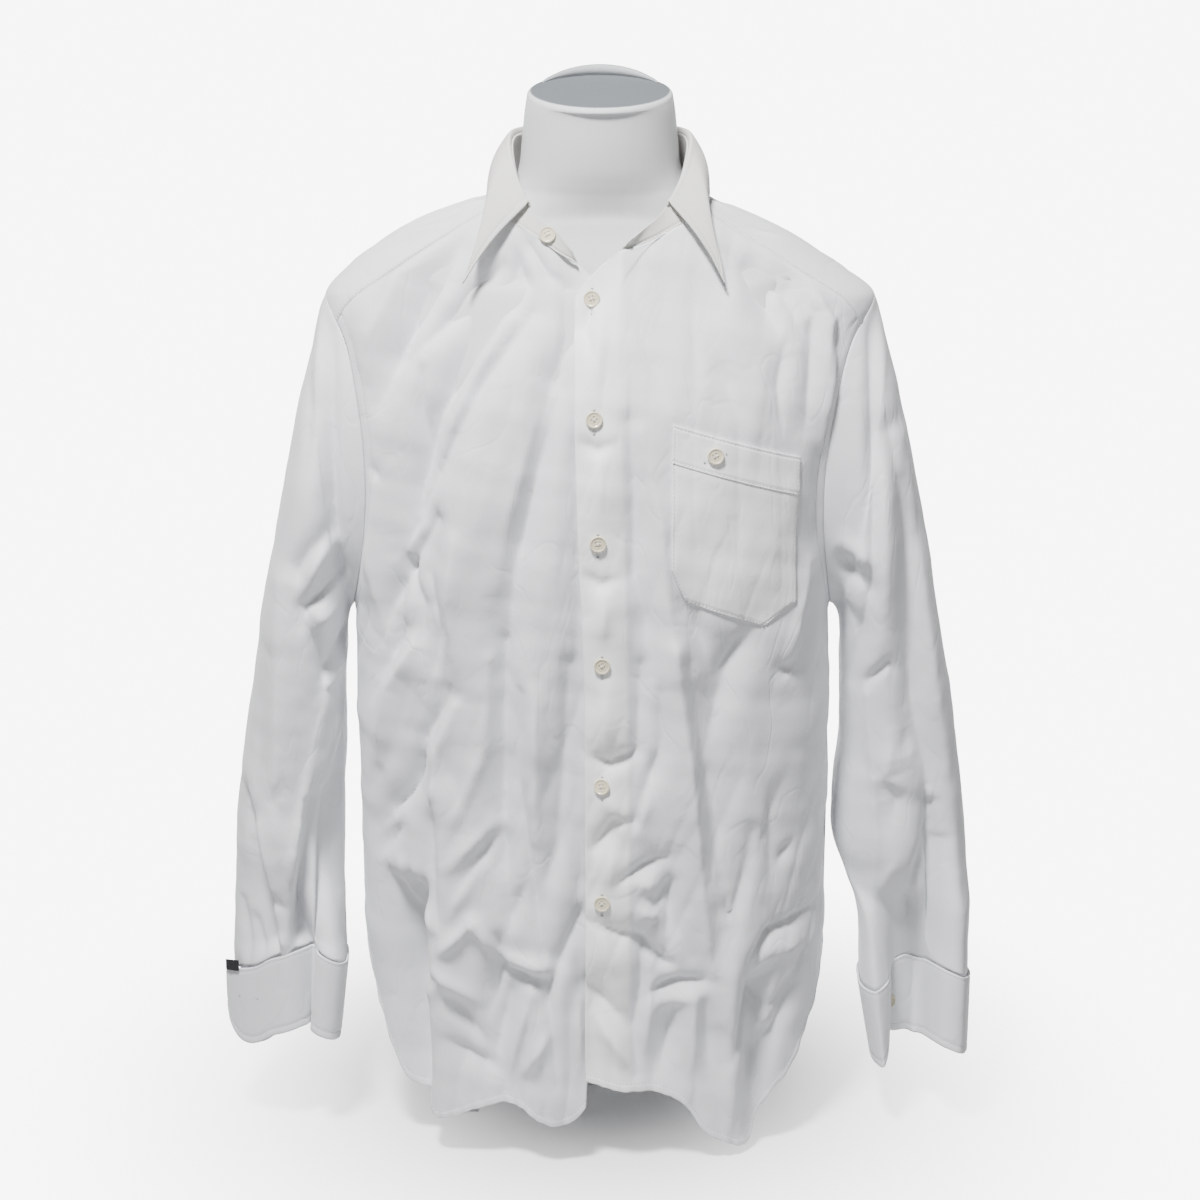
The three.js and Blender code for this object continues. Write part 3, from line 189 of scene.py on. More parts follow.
# Edges of the fronts and the folds seen in them
fronts = {
    "underEdge": table(
        "z x", (49, -11), (80, -9), (130, 2), (200, 18), (400, 20), (668, 17), (684, 6), (696, -6.5),
        (703, -15.8)),
    "overEdge": table(
        "z x", (71, -11), (400, -12), (540, -17), (678, -18), (690, -10), (703, 2.5), (712, 15.8)),
    "underHem": [
        (-11, 49), (-19.6, 39), (-33, 34.5), (-47, 38), (-61.2, 46.7), (-75.3, 50), (-98.9, 43),
        (-112, 36), (-128, 31), (-136, 33), (-142, 42), (-152, 45), (-160, 52), (-170, 82),
        (-179, 118), (-187, 155)],
    "overHem": [
        (-11, 71.7), (13.3, 65.7), (40.7, 63), (65.9, 51), (82.7, 25), (97, 15.5), (108, 9),
        (117, 7.5), (122, 12), (128, 27), (133, 38), (140, 50), (149, 60), (160, 79), (170, 98),
        (177, 118)],
    "layerStep": 1.9, "gapDip": 3.5, "gapDeep": 3.5, "rows": 230, "columns": 130,
    "foldShare": 1.35, "creaseShare": 2.15, "crumple": 1.6, "hemWidth": 7, "hemRise": 0.6, "puckerRise": 0.5,
    "bandWidth": 35, "bandRise": 0.8,
}

frontFolds = [
    (9, 16, 9, [(-126, 300), (-128, 200), (-129, 117), (-132, 25)]),
    (-24, 12, 16, [(-147, 215), (-146, 140), (-146, 20)]),
    (6, 14, 16, [(-38, 150), (-38, 95), (-36, 30)]),
    (-7, 18, 16, [(-72, 170), (-78, 110), (-74, 40)]),
    (-5, 14, 12, [(-8, 150), (-10, 95), (-8, 45)]),
    (-6, 14, 16, [(48, 150), (52, 100), (48, 50)]),
    (9, 18, 9, [(100, 200), (104, 120), (106, 14)]),
    (-15, 10, 16, [(124, 150), (125, 90), (126, 10)]),
    (-6, 12, 20, [(-67, 687), (-91, 650), (-114, 602), (-136, 541), (-143, 482)]),
    (-4, 12, 16, [(-104, 722), (-134, 673), (-155, 620), (-166, 590)]),
    (-4, 14, 14, [(-36, 626), (-48, 565), (-59, 500), (-64, 440)]),
    (5, 16, 16, [(-90, 560), (-104, 480), (-112, 400)]),
    (-5, 12, 18, [(-125, 430), (-121, 392), (-135, 350), (-142, 310)]),
    (-5, 14, 16, [(-68, 455), (-76, 380), (-76, 300), (-80, 224)]),
    (-4, 12, 12, [(29, 446), (31, 396), (44, 350)]),
    (5, 14, 16, [(48, 455), (54, 370), (66, 300), (76, 250)]),
    (-4, 14, 14, [(98, 423), (84, 376), (88, 290), (82, 240)]),
    (-4, 12, 14, [(115, 692), (124, 668), (140, 640)]),
]

# Finer creases: height, width to the left and right going down, then places in x and z
frontCreases = [
    # shoulder and chest of the under front
    (4, 9, 12, [(-105, 725), (-147, 693), (-167, 650), (-174, 620)]),
    (-5, 7, 9, [(-103, 715), (-130, 675), (-152, 637), (-165, 600)]),
    (-4.5, 7, 8, [(-73, 702), (-105, 670), (-148, 632)]),
    (-5.5, 8, 10, [(-58, 692), (-93, 645), (-122, 595), (-138, 540), (-142, 505)]),
    (3.5, 7, 7, [(-70, 664), (-100, 617), (-122, 560)]),
    (-5, 8, 9, [(-49, 670), (-86, 622), (-120, 555), (-134, 525)]),
    (-3, 5, 6, [(-133, 628), (-135, 600), (-131, 572)]),
    (3.5, 9, 9, [(-39, 615), (-52, 575), (-66, 525), (-76, 470)]),
    (-5, 9, 12, [(-30, 618), (-50, 545), (-63, 490), (-74, 405)]),
    (-3, 7, 9, [(-21, 660), (-40, 610), (-52, 565)]),
    (-2.6, 4, 5, [(-51, 716), (-38, 696), (-22, 685)]),
    (-2.5, 4, 5, [(-61, 711), (-58, 698), (-50, 685)]),
    (-4.5, 6, 8, [(-122, 520), (-146, 478), (-162, 445), (-168, 415)]),
    (3, 6, 6, [(-136, 510), (-154, 482)]),
    (-3.5, 6, 7, [(-141, 510), (-150, 488), (-134, 452), (-136, 416)]),
    (3.5, 8, 8, [(-175, 544), (-172, 480), (-164, 406)]),
    (-3, 6, 7, [(-152, 462), (-160, 404)]),
    (-3, 6, 7, [(-119, 517), (-127, 478), (-120, 435), (-126, 404)]),
    (2.5, 6, 7, [(-106, 506), (-111, 455), (-106, 406)]),
    (-2.4, 5, 5, [(-177, 554), (-165, 544)]),
    # lower part of the under front
    (-4.5, 7, 8, [(-150, 430), (-163, 405), (-174, 370)]),
    (4, 8, 9, [(-141, 418), (-161, 382), (-171, 320)]),
    (-4.5, 6, 7, [(-115, 383), (-138, 345), (-147, 305), (-175, 262)]),
    (4, 6, 6, [(-110, 377), (-124, 335), (-128, 290)]),
    (-5, 5, 10, [(-128, 298), (-127, 250), (-123, 190)]),
    (-5.5, 8, 8, [(-72, 428), (-75, 350), (-76, 285), (-70, 212)]),
    (3.5, 7, 7, [(-83, 415), (-86, 345), (-110, 285)]),
    (-3.5, 4, 6, [(-60, 390), (-62, 320), (-52, 245), (-43, 180)]),
    (3, 7, 7, [(-49, 393), (-48, 340), (-49, 272)]),
    (-5.5, 9, 12, [(-24, 412), (-28, 330), (-33, 270), (-43, 218)]),
    (-4, 6, 7, [(-140, 322), (-152, 297), (-168, 275)]),
    (-3.5, 5, 6, [(-156, 270), (-176, 240)]),
    (-4, 5, 6, [(-134, 228), (-149, 195), (-143, 168), (-127, 154)]),
    (3, 5, 6, [(-137, 212), (-121, 190)]),
    (3.8, 5, 5, [(-97, 203), (-121, 175)]),
    (3.8, 5, 5, [(-97, 203), (-79, 175)]),
    (3, 5, 6, [(-93, 250), (-113, 207)]),
    (3, 6, 6, [(-83, 282), (-114, 246)]),
    (-3, 5, 6, [(-83, 272), (-108, 226)]),
    (-5, 6, 7, [(-80, 190), (-78, 165), (-86, 130)]),
    (4, 4, 7, [(-76, 175), (-54, 171), (-37, 168)]),
    (-3, 5, 5, [(-73, 163), (-40, 156)]),
    (3.8, 5, 6, [(-54, 145), (-63, 110), (-71, 74)]),
    (3.4, 5, 6, [(-40, 112), (-62, 74)]),
    (-4, 6, 7, [(-41, 155), (-37, 115), (-33, 70)]),
    (-4, 6, 7, [(-16, 210), (-30, 178), (-42, 138)]),
    (3, 5, 6, [(-16, 138), (-15, 85)]),
    (3.4, 5, 6, [(-124, 160), (-97, 137)]),
    (3, 5, 6, [(-142, 130), (-127, 147)]),
    (-3.4, 5, 6, [(-115, 137), (-90, 98)]),
    (-3, 6, 6, [(-72, 144), (-84, 85)]),
    (-3, 6, 7, [(-116, 100), (-80, 75)]),
    (-2.8, 5, 6, [(-163, 226), (-150, 178)]),
    (2.8, 5, 6, [(-154, 240), (-155, 190)]),
    (-3, 6, 7, [(-58, 235), (-73, 192)]),
    # shoulder and chest of the over front
    (-3.5, 6, 8, [(95, 709), (118, 688), (130, 662)]),
    (-3, 6, 7, [(112, 703), (138, 682), (150, 653)]),
    (-4, 8, 9, [(140, 696), (160, 665), (158, 620), (153, 584)]),
    (3, 8, 8, [(149, 697), (171, 660), (167, 617)]),
    (-3, 6, 7, [(161, 690), (178, 660), (176, 623)]),
    (-3, 10, 8, [(137, 644), (132, 617), (134, 585)]),
    (-1.8, 6, 7, [(79, 640), (93, 620), (99, 599)]),
    (-1.6, 6, 7, [(26, 666), (38, 636), (48, 607)]),
    (-1.6, 7, 7, [(68, 676), (69, 617)]),
    (-5, 12, 7, [(22, 594), (25, 540), (25, 480), (34, 450), (40, 404)]),
    (3, 9, 9, [(30, 587), (44, 520), (50, 455), (57, 406)]),
    (-2.6, 7, 7, [(59, 462), (74, 436), (81, 404)]),
    (-2.6, 7, 7, [(109, 430), (91, 402)]),
    (2.6, 7, 7, [(156, 479), (143, 409)]),
    (3, 8, 8, [(173, 630), (171, 557)]),
    (-3, 7, 7, [(166, 560), (168, 486)]),
    (-3, 5, 7, [(-6, 676), (-10, 660), (-6, 640)]),
    (2, 8, 8, [(-1, 666), (-2, 617)]),
    (2, 8, 8, [(1, 574), (0, 527)]),
    (-2.2, 5, 5, [(-11, 579), (-2, 574), (10, 579)]),
    (-2.2, 5, 5, [(-9, 482), (0, 475), (13, 479)]),
    (2.6, 8, 9, [(3, 465), (3, 434)]),
    # lower part of the over front
    (-4, 7, 7, [(31, 412), (28, 345), (8, 336), (-6, 342)]),
    (3, 12, 12, [(5, 392), (4, 352)]),
    (3, 10, 12, [(4, 312), (23, 282)]),
    (-3, 5, 6, [(-4, 268), (10, 290), (27, 290)]),
    (2.8, 10, 10, [(8, 268), (8, 238)]),
    (3, 10, 12, [(1, 210), (11, 160)]),
    (-3, 6, 7, [(-2, 207), (25, 192)]),
    (-3, 5, 6, [(-6, 155), (19, 122)]),
    (3, 6, 7, [(-2, 127), (23, 85)]),
    (-4, 7, 7, [(45, 392), (46, 345), (28, 290)]),
    (3, 6, 6, [(38, 318), (30, 283)]),
    (4.5, 9, 9, [(55, 425), (68, 330), (78, 225), (92, 120)]),
    (-3, 8, 8, [(65, 412), (80, 330), (93, 238)]),
    (-3.4, 5, 6, [(17, 243), (34, 253), (51, 260)]),
    (3, 8, 8, [(30, 240), (42, 236)]),
    (-3, 5, 5, [(44, 222), (56, 240)]),
    (3.2, 8, 8, [(31, 217), (45, 210)]),
    (-4, 6, 6, [(24, 197), (50, 172), (60, 168)]),
    (-4, 6, 6, [(54, 238), (52, 192)]),
    (-3.8, 5, 8, [(40, 147), (60, 156), (88, 155)]),
    (3, 8, 8, [(47, 138), (78, 144)]),
    (-5, 7, 7, [(33, 190), (32, 155), (26, 118), (29, 78)]),
    (3.4, 7, 8, [(39, 155), (37, 102)]),
    (-3.6, 7, 8, [(58, 133), (48, 82)]),
    (3.4, 8, 8, [(73, 147), (72, 82)]),
    (-3.6, 7, 8, [(80, 137), (86, 85)]),
    (-3.6, 4, 5, [(117, 168), (130, 187), (170, 194)]),
    (3, 9, 9, [(133, 170), (158, 168)]),
    (-4, 5, 6, [(124, 138), (136, 120), (151, 143)]),
    (3, 6, 6, [(140, 130), (128, 97)]),
    (-2.5, 6, 6, [(137, 403), (146, 395)]),
    (-2, 5, 5, [(140, 245), (150, 258)]),
    (-2.6, 8, 8, [(117, 275), (112, 240), (94, 165)]),
    (2.6, 9, 9, [(125, 278), (111, 205)]),
    (-2.4, 8, 8, [(98, 412), (82, 345)]),
    (-2.4, 8, 8, [(131, 303), (133, 218)]),
    (-4.5, 5, 9, [(124, 140), (103, 85)]),
    (-4, 6, 8, [(153, 132), (127, 68)]),
]

backFolds = [
    (-9, 18, 18, [(-70, 620), (-78, 480), (-86, 300), (-92, 120)]),
    (7, 18, 18, [(-38, 560), (-42, 380), (-44, 160), (-44, 20)]),
    (-8, 18, 18, [(6, 520), (4, 360), (2, 160), (2, 20)]),
    (8, 18, 18, [(46, 600), (50, 420), (48, 200), (48, 20)]),
    (-9, 18, 18, [(84, 620), (92, 460), (94, 280), (92, 120)]),
    (-7, 12, 16, [(-160, 560), (-138, 500), (-128, 430)]),
    (-7, 16, 12, [(158, 560), (138, 500), (126, 430)]),
]

# Finer creases of the back, like the front's
backCreases = [
    (-4, 6, 8, [(-150, 600), (-120, 560), (-104, 500)]),
    (3, 7, 7, [(-132, 600), (-106, 545), (-96, 480)]),
    (-4, 8, 6, [(148, 602), (122, 556), (108, 505)]),
    (3, 7, 7, [(130, 598), (108, 550), (100, 486)]),
    (-4, 6, 7, [(-172, 470), (-150, 420), (-122, 392)]),
    (-3, 6, 6, [(-168, 440), (-146, 400), (-130, 350)]),
    (-4, 7, 6, [(170, 466), (148, 424), (124, 396)]),
    (-3, 6, 6, [(160, 430), (150, 385), (120, 352)]),
    (-3, 7, 8, [(-20, 500), (-26, 420), (-16, 352)]),
    (3, 7, 7, [(20, 470), (28, 400), (22, 330)]),
    (-4, 6, 7, [(-120, 330), (-98, 290), (-60, 268)]),
    (3, 6, 6, [(-112, 312), (-92, 276), (-58, 250)]),
    (-4, 6, 7, [(134, 322), (106, 284), (68, 270)]),
    (-3, 5, 6, [(60, 252), (38, 222), (6, 214)]),
    (-4, 6, 6, [(-48, 232), (-20, 204), (24, 196)]),
    (3, 6, 6, [(-44, 214), (-18, 190), (14, 184)]),
    (-4, 7, 7, [(-140, 214), (-122, 168), (-118, 110)]),
    (-4, 7, 7, [(140, 206), (128, 160), (116, 104)]),
    (-3, 5, 6, [(-88, 182), (-60, 150), (-66, 98)]),
    (3, 6, 6, [(70, 184), (52, 140), (60, 92)]),
    (-3, 5, 5, [(94, 152), (78, 118), (86, 72)]),
    (-3, 5, 5, [(-30, 142), (-8, 112), (-14, 66)]),
    (3, 6, 6, [(20, 132), (32, 100), (24, 58)]),
]

# Soft folds of the yoke, in x and y seen from above
yokeFolds = [
    (3.4, 5, 7, [(-78, -44), (-112, -38), (-148, -24), (-182, -8)]),
    (2.8, 4, 6, [(-84, -22), (-120, -14), (-160, 2)]),
    (3.0, 5, 6, [(-96, 6), (-136, 14), (-176, 20)]),
    (3.4, 5, 7, [(80, -44), (116, -36), (150, -20), (180, -6)]),
    (2.8, 4, 6, [(88, -18), (124, -10), (162, 4)]),
    (3.0, 5, 6, [(100, 10), (138, 18), (176, 24)]),
    (1.8, 9, 9, [(-60, 72), (-90, 78), (-130, 74)]),
    (1.8, 9, 9, [(56, 72), (96, 80), (134, 72)]),
]

# Sleeve creases in the same form, seen from the front
sleeveFolds = {
    "left": [
        (-6, 5, 9, [(-198, 655), (-198, 570), (-199, 520), (-195, 460), (-192, 433)]),
        (-3, 9, 9, [(-222, 640), (-216, 590), (-222, 540)]),
        (-5, 6, 9, [(-206, 500), (-226, 474), (-230, 460)]),
        (4, 6, 7, [(-201, 492), (-212, 480), (-219, 464)]),
        (-7, 6, 8, [(-197, 466), (-209, 454), (-222, 443), (-226, 431)]),
        (4, 7, 8, [(-200, 441), (-214, 428)]),
        (-6, 7, 5, [(-221, 428), (-215, 408), (-212, 388), (-213, 374)]),
        (-5, 5, 5, [(-199, 412), (-212, 385)]),
        (6, 6, 9, [(-201, 388), (-211, 374), (-216, 354), (-224, 328), (-231, 293), (-236, 259),
                   (-241, 222)]),
        (-6, 5, 10, [(-213, 372), (-221, 341), (-229, 310), (-237, 276), (-242, 248)]),
        (4.5, 13, 14, [(-244, 461), (-249, 378), (-251, 283), (-255, 188)]),
        (-4, 12, 12, [(-254, 400), (-262, 360), (-267, 310), (-274, 283)]),
        (-3, 7, 8, [(-283, 285), (-276, 272), (-284, 250)]),
        (-10, 3, 14, [(-274, 266), (-268, 231), (-262, 189), (-256, 150), (-252, 110)]),
        (3, 7, 4, [(-267, 262), (-261, 228), (-254, 180)]),
        (-10, 12, 3.5, [(-227, 282), (-233, 241), (-238, 206), (-243, 150), (-244, 110)]),
        (3.5, 4, 7, [(-234, 262), (-243, 200), (-248, 158)]),
        (-9, 11, 3.5, [(-212, 286), (-215, 258), (-218, 200), (-222, 158), (-224, 110)]),
        (3, 6, 6, [(-201, 348), (-208, 327), (-212, 297)]),
        (-3, 5, 6, [(-203, 330), (-210, 300), (-214, 284)]),
        (-2.5, 7, 7, [(-247, 300), (-252, 284), (-246, 262)]),
        (-2.5, 6, 6, [(-262, 205), (-250, 192), (-247, 170)]),
        (3, 5, 5, [(-262, 180), (-252, 160), (-248, 120)]),
        (-3, 4, 4, [(-288, 190), (-284, 160), (-282, 110)]),
        (-3, 4, 4, [(-278, 178), (-272, 150), (-270, 110)]),
    ],
    "right": [
        (-5, 8, 5, [(201, 660), (203, 606), (205, 526), (205, 461), (200, 418), (193, 375)]),
        (-6, 7, 8, [(183, 476), (192, 470), (203, 457)]),
        (4, 8, 8, [(186, 490), (198, 480), (206, 470)]),
        (-3, 6, 8, [(187, 440), (196, 425), (200, 405)]),
        (-9, 14, 11, [(217, 575), (228, 528), (234, 493), (237, 428), (243, 361), (256, 310), (264, 262)]),
        (-10, 4, 12, [(262, 275), (266, 241), (268, 189), (272, 140), (273, 100)]),
        (-8, 4, 4, [(270, 245), (272, 196), (275, 140), (276, 100)]),
        (6, 13, 9, [(229, 570), (241, 506), (251, 428), (261, 361), (273, 293), (284, 189)]),
        (4, 16, 16, [(213, 540), (216, 470), (219, 420)]),
        (-3.4, 4, 5, [(206, 379), (212, 387), (220, 396), (226, 389)]),
        (-3, 8, 9, [(236, 341), (240, 318)]),
        (-3, 9, 9, [(218, 302), (231, 283), (228, 262)]),
        (3.4, 10, 10, [(228, 330), (222, 300), (240, 290)]),
        (-5, 9, 5, [(260, 250), (251, 224), (242, 182), (238, 162)]),
        (3, 9, 9, [(234, 230), (226, 205), (220, 170)]),
        (1.6, 3, 3, [(206, 368), (215, 293), (221, 196)]),
        (-4, 7, 5, [(246, 190), (244, 172), (252, 158)]),
        (-2.6, 7, 7, [(262, 460), (271, 420), (272, 380)]),
    ],
}


# Folds of the sleeves' backs, which the photo doesn't show
sleeveBackFolds = {
    "left": [
        (-5, 7, 9, [(-206, 620), (-214, 560), (-218, 500), (-214, 440)]),
        (4, 10, 10, [(-226, 600), (-234, 530), (-238, 470)]),
        (-5, 6, 8, [(-206, 470), (-222, 446), (-244, 428), (-262, 420)]),
        (4, 7, 7, [(-208, 446), (-228, 420), (-252, 404)]),
        (-6, 6, 8, [(-206, 410), (-222, 384), (-246, 372)]),
        (5, 9, 9, [(-214, 388), (-230, 340), (-240, 280)]),
        (-5, 6, 9, [(-236, 380), (-248, 320), (-252, 250)]),
        (-4, 7, 7, [(-262, 350), (-268, 300), (-266, 240)]),
        (-8, 4, 9, [(-228, 270), (-230, 220), (-231, 160), (-231, 100)]),
        (-7, 4, 9, [(-252, 266), (-252, 210), (-251, 150), (-250, 100)]),
        (-5, 4, 8, [(-272, 250), (-272, 200), (-270, 150), (-270, 100)]),
        (3, 6, 7, [(-214, 300), (-222, 250), (-220, 200)]),
    ],
    "right": [
        (-5, 9, 7, [(206, 620), (214, 560), (216, 500), (210, 440)]),
        (4, 10, 10, [(228, 606), (236, 540), (240, 470)]),
        (-5, 8, 6, [(196, 462), (214, 440), (238, 424), (258, 418)]),
        (4, 7, 7, [(198, 440), (220, 414), (246, 400)]),
        (-6, 8, 6, [(196, 400), (214, 376), (240, 364)]),
        (5, 9, 9, [(206, 380), (224, 334), (236, 276)]),
        (-5, 9, 6, [(240, 376), (252, 316), (258, 250)]),
        (-4, 7, 7, [(266, 356), (272, 300), (274, 240)]),
        (-8, 9, 4, [(226, 262), (228, 214), (230, 156), (231, 96)]),
        (-7, 9, 4, [(250, 260), (252, 206), (253, 150), (254, 96)]),
        (-5, 8, 4, [(274, 246), (276, 196), (276, 148), (277, 96)]),
        (3, 6, 7, [(208, 296), (214, 246), (212, 196)]),
    ],
}


def frontRelief(x, z):
    fine = foldRelief(frontCreases, x, z, 1.3) * fronts["creaseShare"]
    small = crumple(x, z, 12, (52, 33), 1) * fronts["crumple"] * (0.35 + 0.65 * (1 - smooth(z, 150, 520)))
    broad = foldRelief(frontFolds, x, z) * fronts["foldShare"]
    return broad + fine + small + ripple(x, z, 5, (60, 34, 21), 2)


def frontPoint(x, z, lift):
    angle = angleAt(x, z)
    rise = lift + frontRelief(x, z)
    return bodyPoint(angle, z) + bodyNormal(angle, z) * rise[..., None]


def frontNormal(x, z):
    step = 1.5
    side = frontPoint(x + step, z, 0) - frontPoint(x - step, z, 0)
    up = frontPoint(x, z + step, 0) - frontPoint(x, z - step, 0)
    return unit(np.cross(side, up))


def armholeEdge(side, turn):
    sign = -1 if side == "left" else 1
    middle = (body["shoulderTop"] + body["underarm"]) / 2
    reach = (body["shoulderTop"] - body["underarm"]) / 2
    swing = np.sin(turn) * body["armholeHalfAngle"]
    return stack(sign * (90 - swing) * degree, middle - reach * np.cos(turn))


def armTurnAt(z):
    middle = (body["shoulderTop"] + body["underarm"]) / 2
    return math.acos((middle - z) / ((body["shoulderTop"] - body["underarm"]) / 2))


armFrontTurn = {side: armTurnAt(body["yokeArm"][side]) for side in ("left", "right")}
armBackTurn = 2 * math.pi - armTurnAt(body["yokeBack"])


def necklineEdge(angle):
    wrapped = (np.asarray(angle, float) + 180) % 360 - 180
    return stack(np.asarray(angle, float) * degree, sampleTable(body["neckline"], "angle", wrapped)["z"])


def sideEdge(side, direction, topTurn):
    sign = -1 if side == "left" else 1
    hem = body["sideHem"][side]
    share = body["sideSeamShare"]

    def edge(v):
        seam = stack(sign * 90 * degree, hem + (body["underarm"] - hem) * v / share)
        hole = armholeEdge(side, direction * np.clip((v - share) / (1 - share), 0, 1) * topTurn)
        return np.where((v <= share)[..., None], seam, hole)
    return edge


def patch(edges, rows, columns, hemShare=0.02, hemRows=14):
    # a sheet between four edges, with its rows closer together at the hem
    hemLevels = np.linspace(0, hemShare, hemRows, endpoint=False)
    v = np.concatenate([hemLevels, np.linspace(hemShare, 1, rows + 1 - hemRows)])
    u = np.linspace(0, 1, columns + 1)
    bottom = edges["bottom"](u)[None]
    top = edges["top"](u)[None]
    start = edges["start"](v)[:, None]
    end = edges["end"](v)[:, None]
    uu = u[None, :, None]
    vv = v[:, None, None]
    corners = (1 - uu) * ((1 - vv) * bottom[:, :1] + vv * top[:, :1])
    corners = corners + uu * ((1 - vv) * bottom[:, -1:] + vv * top[:, -1:])
    return (1 - vv) * bottom + vv * top + (1 - uu) * start + uu * end - corners


def between(a, b, slopeA, slopeB, t):
    # a smooth step from a to b that leaves and arrives with the two slopes
    gap = b - a
    return a + t * slopeA + t * t * (3 * gap - 2 * slopeA - slopeB) + t ** 3 * (slopeA + slopeB - 2 * gap)


def gridNormals(grid, closed):
    if closed:
        side = np.roll(grid, -1, axis=1) - np.roll(grid, 1, axis=1)
    else:
        side = np.gradient(grid, axis=1)
    up = np.gradient(grid, axis=0)
    return unit(np.cross(side, up))


def distanceFromEdge(grid, edge):
    # length along the cloth from a named edge to every point
    lines = {"bottom": grid, "top": grid[::-1], "start": grid.swapaxes(0, 1)}
    lines["end"] = grid.swapaxes(0, 1)[::-1]
    line = lines[edge]
    steps = np.linalg.norm(np.diff(line, axis=0), axis=-1)
    total = np.concatenate([np.zeros((1, line.shape[1])), np.cumsum(steps, axis=0)])
    if edge == "top":
        return total[::-1]
    if edge == "start":
        return total.T
    if edge == "end":
        return total[::-1].T
    return total


def meshObject(name, vertices, faces):
    # vertices in mm about the neck's axis; a polygon mesh in metres in the frame
    mesh = bpy.data.meshes.new(name)
    points = np.asarray(vertices, float).reshape(-1, 3) * mm
    points[:, 1] -= standBack * mm
    faces = np.asarray(faces, np.int32)
    mesh.vertices.add(len(points))
    mesh.vertices.foreach_set("co", points.ravel())
    mesh.loops.add(faces.size)
    mesh.loops.foreach_set("vertex_index", faces.ravel())
    mesh.polygons.add(len(faces))
    mesh.polygons.foreach_set("loop_start", np.arange(0, faces.size, faces.shape[1], dtype=np.int32))
    mesh.polygons.foreach_set("loop_total", np.full(len(faces), faces.shape[1], np.int32))
    mesh.polygons.foreach_set("use_smooth", np.ones(len(faces), bool))
    mesh.update(calc_edges=True)
    mesh.validate()
    piece = bpy.data.objects.new(name, mesh)
    bpy.context.scene.collection.objects.link(piece)
    return piece


cloths = {}
seamPress = {"depth": 0.6, "width": 0.9}  # how far a line of stitches pulls the cloth in


def shell(name, grid, thickness, centre, closed=False, seams=()):
    # a closed thin wall: the grid is its outer face, pressed in along its lines of stitches
    rows, columns = grid.shape[:2]
    normals = gridNormals(grid, closed)
    outward = np.sum(normals * (grid - centre))
    if outward < 0:
        normals = -normals
    press = np.zeros((rows, columns))
    for edge, inset in seams:
        press += np.exp(-((distanceFromEdge(grid, edge) - inset) / seamPress["width"]) ** 2)
    grid = grid - normals * (seamPress["depth"] * press)[..., None]
    cloths[name] = (grid, normals)
    inner = grid - normals * np.asarray(thickness, float)[..., None]
    index = np.arange(rows * columns).reshape(rows, columns)
    following = np.roll(index, -1, axis=1) if closed else index[:, 1:]
    current = index if closed else index[:, :-1]
    a = current[:-1]
    b = following[:-1]
    c = following[1:]
    d = current[1:]
    flip = outward < 0
    outer = stack(a, d, c, b) if flip else stack(a, b, c, d)
    back = rows * columns
    inside = outer[..., ::-1] + back
    quads = [outer.reshape(-1, 4), inside.reshape(-1, 4)]
    rims = [(current[0], following[0], True), (current[-1], following[-1], False)]
    if not closed:
        rims.append((index[:-1, 0], index[1:, 0], False))
        rims.append((index[:-1, -1], index[1:, -1], True))
    for first, second, under in rims:
        quad = stack(first, first + back, second + back, second)
        turn = under != flip
        quads.append(quad if turn else quad[..., ::-1])
    piece = meshObject(name, np.concatenate([grid.reshape(-1, 3), inner.reshape(-1, 3)]),
                       np.concatenate(quads).astype(np.int32))
    return piece


def hemRelief(grid):
    # a turned hem: a doubled strip with a step at its stitched edge, drawn into puckers
    distance = distanceFromEdge(grid, "bottom")
    width = fronts["hemWidth"]
    step = fronts["hemRise"] * (1 - smooth(distance, width - 0.8, width + 0.8))
    x = grid[..., 0]
    pucker = np.sin(0.66 * x + 1.7 * np.sin(0.11 * x) + 0.25 * distance) * np.exp(-(distance / 8) ** 2)
    return step + fronts["puckerRise"] * pucker


